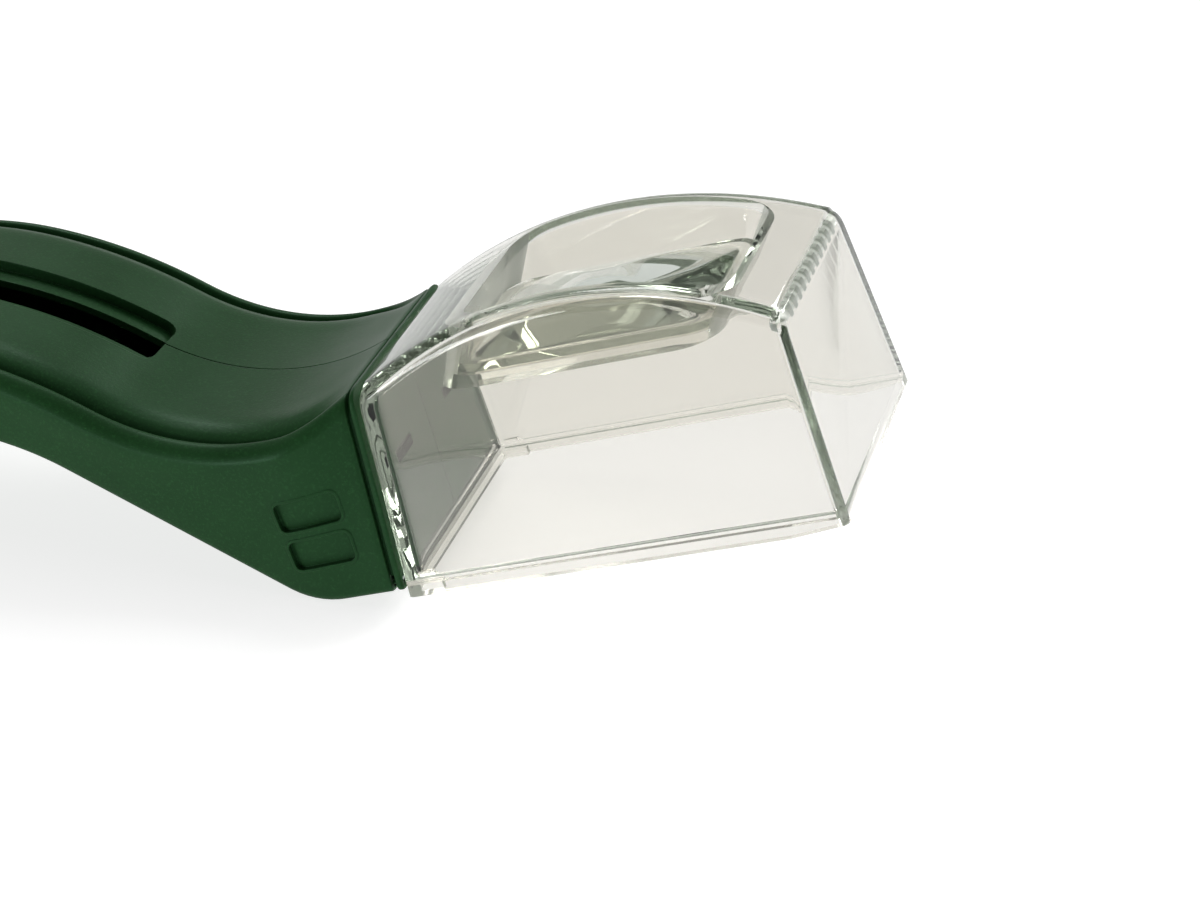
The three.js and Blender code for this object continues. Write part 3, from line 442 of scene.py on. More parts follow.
# The first of a Mix node's two value inputs, and its output, for numbers and for colours
MIX_SOCKETS = {"FLOAT": (2, 0), "RGBA": (6, 2)}


class Nodes:
    """Short calls for the nodes of one tree."""

    def __init__(self, tree):
        self.tree = tree

    def fill(self, node, values):
        """Gives a node's inputs plain values, or links them to the outputs that give theirs."""
        for name, value in dict(values).items():
            if isinstance(value, bpy.types.NodeSocket):
                self.tree.links.new(value, node.inputs[name])
            else:
                node.inputs[name].default_value = value

    def add(self, kind, values=(), **properties):
        node = self.tree.nodes.new(kind)
        for key, value in properties.items():
            setattr(node, key, value)
        self.fill(node, values)
        return node

    def math(self, operation, *values):
        return self.add("ShaderNodeMath", enumerate(values), operation=operation).outputs[0]

    def along(self, axis, length):
        """A vector of a length along one axis."""
        return self.add("ShaderNodeCombineXYZ", {axis: length}).outputs[0]

    def noise(self, grain, detail=2.0, roughness=0.5):
        """Noise whose features are about the given size, in metres."""
        place = self.add("ShaderNodeTexCoord").outputs["Object"]
        values = {"Vector": place, "Scale": 1 / grain, "Detail": detail, "Roughness": roughness}
        return self.add("ShaderNodeTexNoise", values).outputs["Fac"]

    def remap(self, value, low, high, to_low, to_high):
        names = ("Value", "From Min", "From Max", "To Min", "To Max")
        values = zip(names, (value, low, high, to_low, to_high))
        return self.add("ShaderNodeMapRange", values).outputs["Result"]

    def mix(self, share, first, second, kind="RGBA"):
        """The first number or colour at share 0, and the second at share 1."""
        entry, result = MIX_SOCKETS[kind]
        values = {"Factor": share, entry: first, entry + 1: second}
        return self.add("ShaderNodeMix", values, data_type=kind).outputs[result]

    def bump(self, height, strength, distance, normal=None):
        values = {"Height": height, "Strength": strength, "Distance": distance}
        if normal:
            values["Normal"] = normal
        return self.add("ShaderNodeBump", values).outputs["Normal"]

    def soft_edges(self, radius):
        return self.add("ShaderNodeBevel", {"Radius": radius}, samples=6).outputs["Normal"]

    def edge_share(self, soft):
        """0 on flat faces, rising towards 1 on sharp edges."""
        flat = self.add("ShaderNodeNewGeometry").outputs["Normal"]
        dot = self.add("ShaderNodeVectorMath", {0: soft, 1: flat}, operation="DOT_PRODUCT")
        return self.remap(dot.outputs["Value"], 1.0, 0.8, 0.0, 1.0)


def repeat_by_nodes(piece, name, inputs, slot, arrange):
    """Repeats a shape by a Geometry Nodes tree with named inputs, and makes it one plain mesh."""
    tree = bpy.data.node_groups.new(name, "GeometryNodeTree")
    tree.interface.new_socket("Geometry", in_out="OUTPUT", socket_type="NodeSocketGeometry")
    inputs = {"Geometry": ("Geometry", None), "Finish": ("Material", material_for(slot)), **inputs}
    settings = {}
    for key, (kind, value) in inputs.items():
        socket = tree.interface.new_socket(key, in_out="INPUT", socket_type=f"NodeSocket{kind}")
        if value is not None:
            settings[socket.identifier] = value
    nodes = Nodes(tree)
    entry = nodes.add("NodeGroupInput").outputs
    copies = nodes.add("GeometryNodeInstanceOnPoints", arrange(nodes, entry)).outputs[0]
    real = nodes.add("GeometryNodeRealizeInstances", {"Geometry": copies}).outputs[0]
    finish = {"Geometry": real, "Material": entry["Finish"]}
    nodes.add("NodeGroupOutput", {0: nodes.add("GeometryNodeSetMaterial", finish).outputs[0]})
    change = piece.modifiers.new(name, "NODES")
    change.node_group = tree
    for identifier, value in settings.items():
        change[identifier] = value
    plain_mesh(piece)


# Materials

# The mesh attribute that holds how frosted each face of the clear plastic is, and its look: rougher, less clear
# and painted a dark grey, which is painted shade on those faces
FROST_AND_SHADE = "frost_and_shade"
FROST_AND_SHADE_TINT = (0.42, 0.46, 0.41, 1.0)
FROST_ROUGHNESS, FROST_COVER = 0.28, 0.8

# What the clear plastic takes out of light that runs along inside its walls, for each metre
DEPTH_TINT = (0.5, 0.565, 0.49, 1.0)
DEPTH_DENSITY = 45.0
CLEAR_INDEX = 1.49

# The strength and tint of the sheen on the moulded plastics, and how much darker or lighter than
# their colour their uneven tone, their specks and their worn edges are
SHEEN_LEVEL, SHEEN_TINT = 0.22, (0.55, 1.0, 0.72, 1.0)
DARKER, LIGHTER, SPECK, WORN = 0.9, 1.1, 2.1, 2.2

# Where in a noise's range its patches, its specks and its tones begin and end
PATCHES, SPECKS, TONES = (0.45, 0.75), (0.52, 0.72), (0.3, 0.7)


def new_material(name, roughness, looks):
    """A material with plain values on its Principled shader, and its nodes and shader."""
    material = bpy.data.materials.new(name)
    material.use_nodes = True
    nodes = Nodes(material.node_tree)
    shader = material.node_tree.nodes["Principled BSDF"]
    nodes.fill(shader, {"Roughness": roughness, **looks})
    return material, nodes, shader


def shade(tint, factor):
    return tuple(min(channel * factor, 1.0) for channel in tint) + (1.0,)


def clear_plastic(name, tint, roughness=0.0, wave=0.05):
    """Moulded clear plastic: faint waves in its faces, small dull patches, and frosted narrow faces with painted
    shade on them.
    """
    plain = {"Base Color": shade(tint, 1.0), "Transmission Weight": 1.0, "IOR": CLEAR_INDEX}
    material, nodes, shader = new_material(name, roughness, plain)
    frost_and_shade = nodes.add("ShaderNodeAttribute", attribute_name=FROST_AND_SHADE).outputs["Fac"]
    patches = nodes.noise(grain=0.012, detail=4.0)
    dull = nodes.remap(patches, *PATCHES, roughness, roughness + 0.05)
    # The frosted faces are mixed towards a dark grey: painted shade on top of their frost.
    looks = {
        "Base Color": nodes.mix(frost_and_shade, plain["Base Color"], FROST_AND_SHADE_TINT),
        "Roughness": nodes.math("MULTIPLY_ADD", frost_and_shade, FROST_ROUGHNESS, dull),
        "Transmission Weight": nodes.remap(frost_and_shade, 0.0, 1.0, 1.0, 1 - FROST_COVER),
    }
    if wave:
        waves = nodes.noise(grain=0.02, detail=1.0)
        looks["Normal"] = nodes.bump(waves, strength=wave, distance=0.0004)
    nodes.fill(shader, looks)
    depth = nodes.add("ShaderNodeVolumeAbsorption", {"Color": DEPTH_TINT, "Density": DEPTH_DENSITY})
    nodes.fill(nodes.tree.nodes["Material Output"], {"Volume": depth.outputs["Volume"]})
    return material


def moulded_plastic(name, tint, grain, roughness, edge=0.0003):
    """Satin plastic with a fine spark texture, uneven in tone, and paler along its edges."""
    sheen = {"Specular IOR Level": SHEEN_LEVEL, "Specular Tint": SHEEN_TINT}
    material, nodes, shader = new_material(name, roughness, sheen)
    fine = nodes.noise(grain, detail=3.0, roughness=0.7)
    broad = nodes.noise(grain=0.018, detail=3.0)
    tone = nodes.mix(nodes.remap(broad, *TONES, 0.0, 1.0), shade(tint, DARKER), shade(tint, LIGHTER))
    speckled = nodes.mix(nodes.remap(fine, *SPECKS, 0.0, 0.5), tone, shade(tint, SPECK))
    soft = nodes.soft_edges(edge)
    worn = nodes.remap(nodes.edge_share(soft), 0.0, 1.0, 0.0, 0.12)
    looks = {
        "Base Color": nodes.mix(worn, speckled, shade(tint, WORN)),
        "Roughness": nodes.remap(broad, *TONES, roughness - 0.04, roughness + 0.05),
        "Normal": nodes.bump(fine, strength=0.5, distance=0.00008, normal=soft),
    }
    nodes.fill(shader, looks)
    return material


def plated_steel(name, tint):
    material, nodes, shader = new_material(name, 0.3, {"Metallic": 1.0})
    grains = nodes.noise(grain=0.0007, detail=4.0)
    soft = nodes.soft_edges(0.0002)
    looks = {
        "Base Color": nodes.mix(grains, shade(tint, 0.82), shade(tint, 1.08)),
        "Roughness": nodes.remap(grains, *TONES, 0.24, 0.4),
        "Normal": nodes.bump(grains, strength=0.2, distance=0.00004, normal=soft),
    }
    nodes.fill(shader, looks)
    return material


MATERIALS = {}


def material_for(slot):
    """The finish of one of the record's material slots, made once."""
    if slot not in MATERIALS:
        finish = bpy.context.scene.catcher_finish
        makers = {
            "clear_plastic": lambda: clear_plastic(slot, finish.clear),
            "lens_plastic": lambda: clear_plastic(slot, finish.lens, wave=0.0),
            "door_plastic": lambda: clear_plastic(slot, finish.door, roughness=0.08, wave=0.4),
            "green_plastic": lambda: moulded_plastic(slot, finish.green, grain=0.0006, roughness=0.4),
            "button_plastic": lambda: moulded_plastic(slot, finish.green, grain=0.0005, roughness=0.38),
            "black_plastic": lambda: moulded_plastic(slot, finish.black, grain=0.0005, roughness=0.45),
            "screw_steel": lambda: plated_steel(slot, finish.steel),
        }
        MATERIALS[slot] = makers[slot]()
    return MATERIALS[slot]


# Clear box

class BoxShape:
    """The clear box's lines, from its settings."""

    def __init__(self):
        box = sizes_of("catcher_box")
        self.length, self.width, self.height = box.length, box.width, box.height
        self.rise, self.wall, self.vents = box.roof_rise, box.wall, box.vents
        self.edge, self.corner = box.edge_radius, box.corner_radius
        self.chord = self.length - FRONT_LEAN - REAR_LEAN
        self.roof_radius = ((self.chord / 2) ** 2 + self.rise**2) / (2 * self.rise)
        self.groove_half = self.half(DOOR_HEIGHT, self.wall) + GROOVE_DEPTH

    def half(self, z, inset=0.0):
        return self.width / 2 - inset - SIDE_LEAN * z / self.height

    def rear(self, z, inset=0.0):
        return inset + REAR_LEAN * z / self.height

    def front(self, z, inset=0.0):
        return self.length - inset - FRONT_LEAN * z / self.height

    def roof(self, along, inset=0.0):
        x = (along - 0.5) * self.chord
        return self.height - inset - (self.roof_radius - self.rise) + math.sqrt(self.roof_radius**2 - x**2)

    def ring(self, along, offset, pinch, inset, bottom, steps=8, crossings=10):
        """One ring of the box: a share of its length, an offset in X and how far it pulls in."""
        top = self.roof(along, inset) - pinch
        radius = max(self.edge - inset, INNER_EDGE)
        half = self.half(top, inset) - pinch
        middle = (half - radius, top - radius)
        left = [(self.half(bottom, inset) - pinch, bottom)]
        for i in range(steps + 1):
            angle = (math.pi / 2) * i / steps
            lean = (1 - i / steps) * SIDE_LEAN * radius / self.height
            left.append((middle[0] + radius * math.cos(angle) + lean, middle[1] + radius * math.sin(angle)))
        half_top = left[-1][0]
        across = [(lerp(half_top, -half_top, k / crossings), top) for k in range(1, crossings)]
        outline = left + across + [(-y, z) for y, z in reversed(left)]
        return [(lerp(self.rear(z, inset), self.front(z, inset), along) + offset, y, z) for y, z in outline]

    def body(self, name, inset, bottom, lengths=72, corner_steps=6):
        """The box's solid at a depth under its surface, with rounded upright edges at both ends."""
        rear, front = (INNER_REAR_CORNER, INNER_FRONT_CORNER) if inset else (self.corner, self.corner)
        low, high = rear / self.length, 1 - front / self.length
        stations = [lerp(low, high, k / lengths) for k in range(lengths + 1)]
        rings = [self.ring(along, 0.0, 0.0, inset, bottom) for along in stations]
        for i in reversed(range(corner_steps)):
            turn = math.pi / 2 * (1 - i / corner_steps)
            into, pinch = 1 - math.sin(turn), 1 - math.cos(turn)
            rings.insert(0, self.ring(0.0, rear * into, rear * pinch, inset, bottom))
            rings.append(self.ring(1.0, -front * into, front * pinch, inset, bottom))
        return body_of_rings(name, rings)


def well_ring(z, grow=0.0, sides=1):
    lens = sizes_of("catcher_lens")
    above = z - WELL_FLOOR
    middle = WELL_START + lens.length / 2 + WELL_SHEAR * above
    half_length = lens.length / 2 + WELL_DRAFT * above + grow
    half_width = lens.width / 2 + WELL_DRAFT * above + grow
    outline = rounded_rectangle(half_length, half_width, WELL_CORNER + grow, sides=sides)
    return [(middle + x, y, z) for x, y in outline]


def vent_cutters(shape):
    """The row of notches inside the front roof edge, from one notch repeated by Geometry Nodes."""
    top = shape.roof(1.0, shape.wall)
    x = shape.front(top, shape.wall)
    span = 2 * (shape.half(top, shape.wall) - shape.edge)
    half = VENT_WIDTH / 2
    low, high = (x - VENT_BACK, -half, top - VENT_BACK), (x + VENT_FRONT, half, top + VENT_FRONT)

    def row_across(nodes, entry):
        gaps = nodes.math("SUBTRACT", entry["Count"], 1.0)
        start = nodes.math("MULTIPLY", nodes.math("MULTIPLY", gaps, entry["Pitch"]), -0.5)
        line = {
            "Count": entry["Count"],
            "Start Location": nodes.along("Y", start),
            "Offset": nodes.along("Y", entry["Pitch"]),
        }
        points = nodes.add("GeometryNodeMeshLine", line, mode="OFFSET").outputs["Mesh"]
        return {"Points": points, "Instance": entry["Geometry"]}

    notch = block("vent_notch", low, high)
    inputs = {"Count": ("Int", shape.vents), "Pitch": ("Float", span / shape.vents)}
    repeat_by_nodes(notch, "row_across", inputs, "clear_plastic", row_across)
    return notch


# How frosted the box's narrow moulded faces are, with shade painted on them in the same share, and how near to the
# lines of the grooves and vents, the rim and the well a face's middle is when it belongs to them
GROOVE_FROST_AND_SHADE, RIM_FROST_AND_SHADE, VENT_FROST_AND_SHADE, WELL_FROST_AND_SHADE = 1.0, 0.3, 1.0, 0.6
LINE_REACH, RIM_REACH, WELL_REACH = 0.05, 0.1, 3.0

# How far a face of the rim looks down, and a face of the well's ends forwards or backwards
DOWNWARD, ENDWAYS = 0.9, 0.6


class CATCHER_OT_clear_box(bpy.types.Operator):
    """Builds the clear box with its roof, well, door grooves, vents and hooks"""

    bl_idname = "catcher.clear_box"
    bl_label = "Clear box"

    def execute(self, context):
        shape = BoxShape()
        wall, high = shape.wall, shape.height + shape.rise
        outer = shape.body("clear_box_shell", 0.0, -RIM_DROP)
        stop = self.corner_block(shape)
        inside(stop, outer, keep=True)
        stop_twin = mirrored(stop, "corner_block_twin")
        well_rings = [well_ring(WELL_FLOOR - WELL_FLOOR_THICKNESS, wall), well_ring(high + PAST, wall)]
        well = inside(body_of_rings("well", well_rings), outer, keep=True)
        cut(outer, shape.body("box_hollow", wall, -4 * wall))
        add(outer, stop, stop_twin, well)
        cut(outer, body_of_rings("well_hollow", [well_ring(WELL_FLOOR), well_ring(high + 2 * PAST)]))
        cut(outer, self.aperture(), *self.grooves(shape), self.rim_cut(shape), vent_cutters(shape))
        add(outer, *self.hooks(shape))
        self.frost_and_shade_faces(outer, shape)
        place_piece(outer, FIXED_BODY, "clear_plastic", ["clear_box"])
        outer.visible_shadow = False
        return {"FINISHED"}

    def corner_block(self, shape):
        """The block that stands in one of the box's rear corners."""
        wall, shoulder = shape.wall, STOP_HEIGHT - STOP_CHAMFER
        outline = [
            (wall / 2, -RIM_DROP),
            (STOP_LENGTH, -RIM_DROP),
            (STOP_LENGTH, shoulder),
            (STOP_LENGTH - STOP_CHAMFER, STOP_HEIGHT),
            (wall / 2, STOP_HEIGHT),
        ]
        inner_face = shape.half(STOP_HEIGHT, wall) - STOP_REACH
        return slab("corner_block", outline, inner_face, shape.half(0.0, wall / 2))

    def aperture(self):
        """The opening in the well's floor, which leaves a seat for the magnifier."""
        lens = sizes_of("catcher_lens")
        half_length, half_width = lens.length / 2 - WELL_SEAT, lens.width / 2 - WELL_SEAT
        middle = WELL_START + lens.length / 2
        outline = rounded_rectangle(half_length, half_width, WELL_CORNER / 2)
        heights = (WELL_FLOOR - 2 * WELL_FLOOR_THICKNESS, WELL_FLOOR + PAST)
        return body_of_rings("aperture", [[(middle + x, y, z) for x, y in outline] for z in heights])

    def grooves(self, shape):
        """The room for the door in both side walls and the rear wall, and the grooves' wider mouths."""
        wall_face, front = shape.half(DOOR_HEIGHT, shape.wall), shape.front(DOOR_HEIGHT, shape.wall)
        rear = shape.rear(DOOR_HEIGHT, shape.wall)
        for name, start, half, room in (
            ("groove", -shape.wall, shape.groove_half, GROOVE_ROOM),
            ("groove_lip", rear, wall_face + GROOVE_LIP, GROOVE_ROOM + GROOVE_LIP),
        ):
            yield block(name, (start, -half, DOOR_HEIGHT - room), (front, half, DOOR_HEIGHT + room))

    def rim_cut(self, shape):
        """The wedge under the side rims, which climb to the front rim."""
        start, end = shape.length - RIM_DROP_END, shape.length + RIM_DROP_END
        low = -4 * RIM_DROP
        outline = [(start, -RIM_DROP), (end, RIM_DROP), (end, low), (start, low)]
        return slab("rim_cut", outline, -shape.width, shape.width)

    def hooks(self, shape):
        reach = FRONT_WALL + SEAT_GAP
        top = HOOK_HEIGHT + HOOK_THICKNESS
        root = shape.rear(HOOK_HEIGHT) + shape.wall / 2
        arm = [
            (root, HOOK_HEIGHT),
            (-reach - HOOK_BARB, HOOK_HEIGHT),
            (-reach - HOOK_BARB, top),
            (-reach, top + HOOK_BARB),
            (-reach, top),
            (root, top),
        ]
        for y in (-HOOK_OFFSET, HOOK_OFFSET):
            yield slab("hook", arm, y - HOOK_WIDTH / 2, y + HOOK_WIDTH / 2)

    def frost_and_shade_faces(self, piece, shape):
        """Marks the narrow moulded faces as frosted, with painted shade on them: the door grooves, the rim, the
        vents and the well's ends.
        """
        top = shape.roof(1.0, shape.wall)
        front = shape.front(top, shape.wall)
        groove_start = shape.half(DOOR_HEIGHT, shape.wall) + LINE_REACH
        groove_room = GROOVE_ROOM + GROOVE_LIP + LINE_REACH
        vent_room = VENT_FRONT + LINE_REACH
        lens = sizes_of("catcher_lens")
        well_middle = WELL_START + lens.length / 2 + WELL_REACH
        well_length, well_width = lens.length / 2 + 2 * WELL_REACH, lens.width / 2 + WELL_REACH
        frost_and_shade = piece.data.attributes.new(FROST_AND_SHADE, "FLOAT", "FACE")
        for face in piece.data.polygons:
            x, y, z = face.center
            share = 0.0
            if (
                groove_start < abs(y) < shape.groove_half - LINE_REACH
                and near(z, DOOR_HEIGHT, groove_room)
                and -RIM_REACH < x < shape.length
            ):
                share = GROOVE_FROST_AND_SHADE
            elif face.normal.z < -DOWNWARD and z < RIM_REACH:
                share = RIM_FROST_AND_SHADE
            elif -VENT_FRONT < x - front < vent_room and near(z, top, vent_room):
                share = VENT_FROST_AND_SHADE
            elif (
                z > WELL_FLOOR - WELL_FLOOR_THICKNESS / 2
                and abs(face.normal.x) > ENDWAYS
                and near(x, well_middle, well_length)
                and abs(y) < well_width
            ):
                share = WELL_FROST_AND_SHADE
            frost_and_shade.data[face.index].value = share


class CATCHER_OT_magnifier(bpy.types.Operator):
    """Builds the rectangular magnifier with its flat rim and crowned face"""

    bl_idname = "catcher.magnifier"
    bl_label = "Magnifier"

    def execute(self, context):
        lens = sizes_of("catcher_lens")
        bottom = WELL_FLOOR + SEAT_GAP
        rim_top = bottom + lens.rim
        rim = well_ring(rim_top, -SLIDE_GAP, sides=8)
        middle = WELL_START + lens.length / 2 + WELL_SHEAR * (rim_top - WELL_FLOOR)
        steps = [(0.94, 0.0), (0.9, 0.02), (CROWN_SHARE, CROWN_FOOT)]
        for i in range(1, CROWN_RINGS):
            share = math.cos(math.pi / 2 * i / CROWN_RINGS)
            steps.append((CROWN_SHARE * share, lerp(lens.crown, CROWN_FOOT, share**2)))
        rings = [well_ring(bottom, -SLIDE_GAP, sides=8), rim]
        for share, height in steps:
            rings.append([(middle + (x - middle) * share, y * share, rim_top + height) for x, y, _ in rim])
        piece = body_of_rings("magnifier_glass", rings)
        place_piece(piece, FIXED_BODY, "lens_plastic", ["magnifier_lens"], sharp=50)
        piece.visible_shadow = False
        return {"FINISHED"}


# Handle

class HandleShape:
    """The handle's lines: a flat heel, a climb, a saddle behind the box and the arched back."""

    def __init__(self, box):
        handle = sizes_of("catcher_handle")
        self.box = box
        self.width, self.tail_width, self.wall = handle.width, handle.tail_width, handle.wall
        self.arch_radius, self.arch_depth = handle.arch_radius, handle.arch_depth
        self.ridge_inset = handle.ridge_inset
        self.saddle = Vector((-SADDLE_LOW, SADDLE_HEIGHT + SADDLE_RADIUS))
        self.heel = Vector((-HEEL_FLAT, HEEL_HEIGHT + HEEL_RADIUS))
        normal = Vector((math.sin(CLIMB), math.cos(CLIMB)))
        self.run = Vector((-math.cos(CLIMB), math.sin(CLIMB)))
        saddle_end = self.saddle - normal * SADDLE_RADIUS
        self.heel_end = self.heel - normal * HEEL_RADIUS
        self.depth = (saddle_end - self.heel_end).dot(normal)
        self.arch = saddle_end - normal * self.arch_radius
        self.recess_front = -CLIMB - RECESS_LEAD / self.arch_radius
        self.saddle_start = math.asin((self.front_at(box.height) - self.saddle.x) / SADDLE_RADIUS)
        self.top_length = SADDLE_RADIUS * (self.saddle_start + CLIMB)
        climb = (self.on_arch(-CLIMB, self.arch_radius - self.depth) - self.heel_end).length
        self.flat = HEEL_FLAT + self.front_at(HEEL_HEIGHT)
        self.bottom_length = self.flat + HEEL_RADIUS * CLIMB + climb

    def on_arch(self, angle, radius):
        return Vector((self.arch.x - radius * math.sin(angle), self.arch.y + radius * math.cos(angle)))

    def front_at(self, z):
        return self.box.rear(z) - SEAT_GAP

    def depth_at(self, angle):
        return lerp(self.depth, self.arch_depth, smooth((angle + CLIMB) / (SWELL_END + CLIMB)))

    def top_at(self, length):
        angle = self.saddle_start - length / SADDLE_RADIUS
        return self.saddle + Vector((math.sin(angle), -math.cos(angle))) * SADDLE_RADIUS

    def bottom_at(self, length):
        if length <= self.flat:
            return Vector((self.front_at(HEEL_HEIGHT) - length, HEEL_HEIGHT))
        angle = min((length - self.flat) / HEEL_RADIUS, CLIMB)
        bend = Vector((-math.sin(angle), -math.cos(angle))) * HEEL_RADIUS
        rest = max(length - self.flat - HEEL_RADIUS * CLIMB, 0.0)
        return self.heel + bend + self.run * rest

    def beside_half(self, height, bottom, edge, inset):
        """Half of the section beside the box: its side and its rounded upper edge follow the box's."""
        def side(up):
            return self.box.half(bottom + inset + up) + PROUD - inset

        top, radius, parts = side(height), self.box.edge, 5
        bend = (side(height - radius), height - radius), (top, height), (top - radius, height)
        corner = []
        for i in range(parts + 1):
            t = i / parts
            weights = ((1 - t) ** 2, 2 * t * (1 - t), t * t)
            corner.append(tuple(sum(w * p[k] for w, p in zip(weights, bend)) for k in (0, 1)))
        return [
            *under_edge(side(0), edge),
            (side(edge), edge),
            (side(height / 2), height / 2),
            *corner,
            *[(top - share * radius, height) for share in FLAT_STEPS],
            (0.0, height),
        ]

    def creased_half(self, height, half_width, edge, scale, inset):
        """Half of the section from the cove on: skirt, ridge, crease and cushion, or the hollow's."""
        side = half_width - inset
        foot = side - SKIRT_DRAFT * scale
        ridge_inset = self.ridge_inset
        ridge = [
            (0.0, SKIRT_DROP),
            (0.16 * ridge_inset, lerp(SKIRT_DROP, RIDGE_DROP, 0.4)),
            (0.48 * ridge_inset, lerp(SKIRT_DROP, RIDGE_DROP, 0.74)),
            (ridge_inset, RIDGE_DROP),
            ((ridge_inset + CREASE_INSET) / 2, lerp(RIDGE_DROP, CREASE_DROP, 0.1)),
            (CREASE_INSET, CREASE_DROP),
            (lerp(CREASE_INSET, CUSHION_INSET, 0.2), lerp(CREASE_DROP, TOP_CROWN, 0.36)),
            (lerp(CREASE_INSET, CUSHION_INSET, 0.5), lerp(CREASE_DROP, TOP_CROWN, 0.72)),
            (CUSHION_INSET, TOP_CROWN),
            (1.6 * CUSHION_INSET, 0.7 * TOP_CROWN),
        ]
        hollow = [
            (inset, SKIRT_DROP),
            *[(inset + inward, HOLLOW_DROP + below) for inward, below in HOLLOW_EDGE],
            *[(inset + inward, lerp(HOLLOW_DROP, HOLLOW_CROWN, up)) for inward, up in HOLLOW_TOP],
            (inset + HOLLOW_MIDDLE, 0.7 * HOLLOW_CROWN),
        ]
        upper = hollow if inset > HOLLOW_INSET else ridge
        return [
            *under_edge(foot, edge),
            (foot, edge),
            (lerp(foot, side, 0.5), lerp(edge, height - SKIRT_DROP * scale, 0.5)),
            *[(half_width - max(inward, inset) * scale, height - drop * scale) for inward, drop in upper],
            (0.0, height),
        ]

    def half_section(self, height, half_width, fade, scale, bottom, inset, fine):
        edge = max(UNDER_EDGE - inset, UNDER_EDGE / 4) * scale
        beside = self.beside_half(height - 2 * inset, bottom, edge, inset)
        creased = self.creased_half(height - 2 * inset, half_width, edge, scale, inset)
        mixed = [
            (lerp(a[0], b[0], fade), inset + lerp(a[1], b[1], fade)) for a, b in zip(beside, creased)
        ]
        return smooth_line(mixed, 4) if fine else mixed

    def ring(self, bottom, top, half_width, fade, scale, inset, fine):
        """A closed ring from the underside's point to the top's, both in the middle of the handle."""
        height = (top - bottom).length
        up = (top - bottom) / height
        half = self.half_section(height, half_width, fade, scale, bottom.y, inset, fine)
        left = [(bottom.x + up.x * rise, y, bottom.y + up.y * rise) for y, rise in half]
        right = [(x, -y, z) for x, y, z in reversed(left[1:-1])]
        return left + right

    def front_station(self, bottom_run, top_run, inset, fine):
        bottom, top = self.bottom_at(bottom_run), self.top_at(top_run)
        return self.ring(bottom, top, self.width / 2, smooth(top_run / COVE_RUN), 1.0, inset, fine)

    def arch_station(self, angle, inset, fine):
        taper = smooth((angle - TAPER_START) / (NOSE_START - TAPER_START))
        nose = min(max((angle - NOSE_START) / (NOSE_END - NOSE_START), 0.0), NOSE_PART)
        round_off = math.sqrt(1 - nose**2)
        spare = self.depth_at(angle) * (1 - round_off) / 2
        bottom = self.on_arch(angle, self.arch_radius - self.depth_at(angle) + spare)
        top = self.on_arch(angle, self.arch_radius - spare)
        half_width = lerp(self.width, self.tail_width, taper) / 2 * lerp(NOSE_WIDTH, 1.0, round_off)
        return self.ring(bottom, top, half_width, 1.0, round_off, inset, fine)

    def body(self, name, inset, start_run, end_angle, fine):
        """The handle's skin at a depth under its surface, with the lip in front on the skin itself."""
        front_steps, arch_step, nose_steps = (44, 1.25, 18) if fine else (12, 4, 6)
        rings = []
        if not inset:
            rings = [self.front_station(run, run, depth, fine) for run, depth in LIP_RINGS]
        start = start_run if inset else SKIN_START
        for k in range(front_steps):
            share = k / front_steps
            runs = lerp(start, self.bottom_length, share), lerp(start, self.top_length, share)
            rings.append(self.front_station(*runs, inset, fine))
        arch_steps = math.ceil((NOSE_START + CLIMB) / math.radians(arch_step))
        angles = [lerp(-CLIMB, NOSE_START, k / arch_steps) for k in range(arch_steps)]
        for k in range(nose_steps + 1):
            angles.append(lerp(NOSE_START, NOSE_END, math.sin(math.pi / 2 * k / nose_steps)))
        rings += [self.arch_station(angle, inset, fine) for angle in angles if angle <= end_angle + 1e-6]
        return body_of_rings(name, rings)


def under_edge(foot, edge):
    """The underside from its middle to where its rounded edge is half done."""
    return [
        (0.0, 0.0),
        ((foot - edge) * 0.6, 0.0),
        (foot - edge, 0.0),
        (foot - 0.3 * edge, 0.3 * edge),
    ]


def smooth_line(points, parts):
    """A smooth line through the points, which keeps the first and last segment straight."""
    result = [points[0]]
    for i in range(len(points) - 1):
        p0 = points[max(i - 1, 0)]
        p1, p2 = points[i], points[i + 1]
        p3 = points[min(i + 2, len(points) - 1)]
        span = math.dist(p1, p2)
        before, after = math.dist(p0, p1) or span, math.dist(p2, p3) or span
        for k in range(1, parts + 1):
            t = k / parts
            point = []
            for axis in (0, 1):
                into = (p2[axis] - p0[axis]) * span / (before + span)
                out = (p3[axis] - p1[axis]) * span / (span + after)
                a = 2 * t**3 - 3 * t**2 + 1
                b = t**3 - 2 * t**2 + t
                c = -2 * t**3 + 3 * t**2
                d = t**3 - t**2
                point.append(a * p1[axis] + b * into + c * p2[axis] + d * out)
            result.append(tuple(point))
    result[-1] = points[-1]
    return result


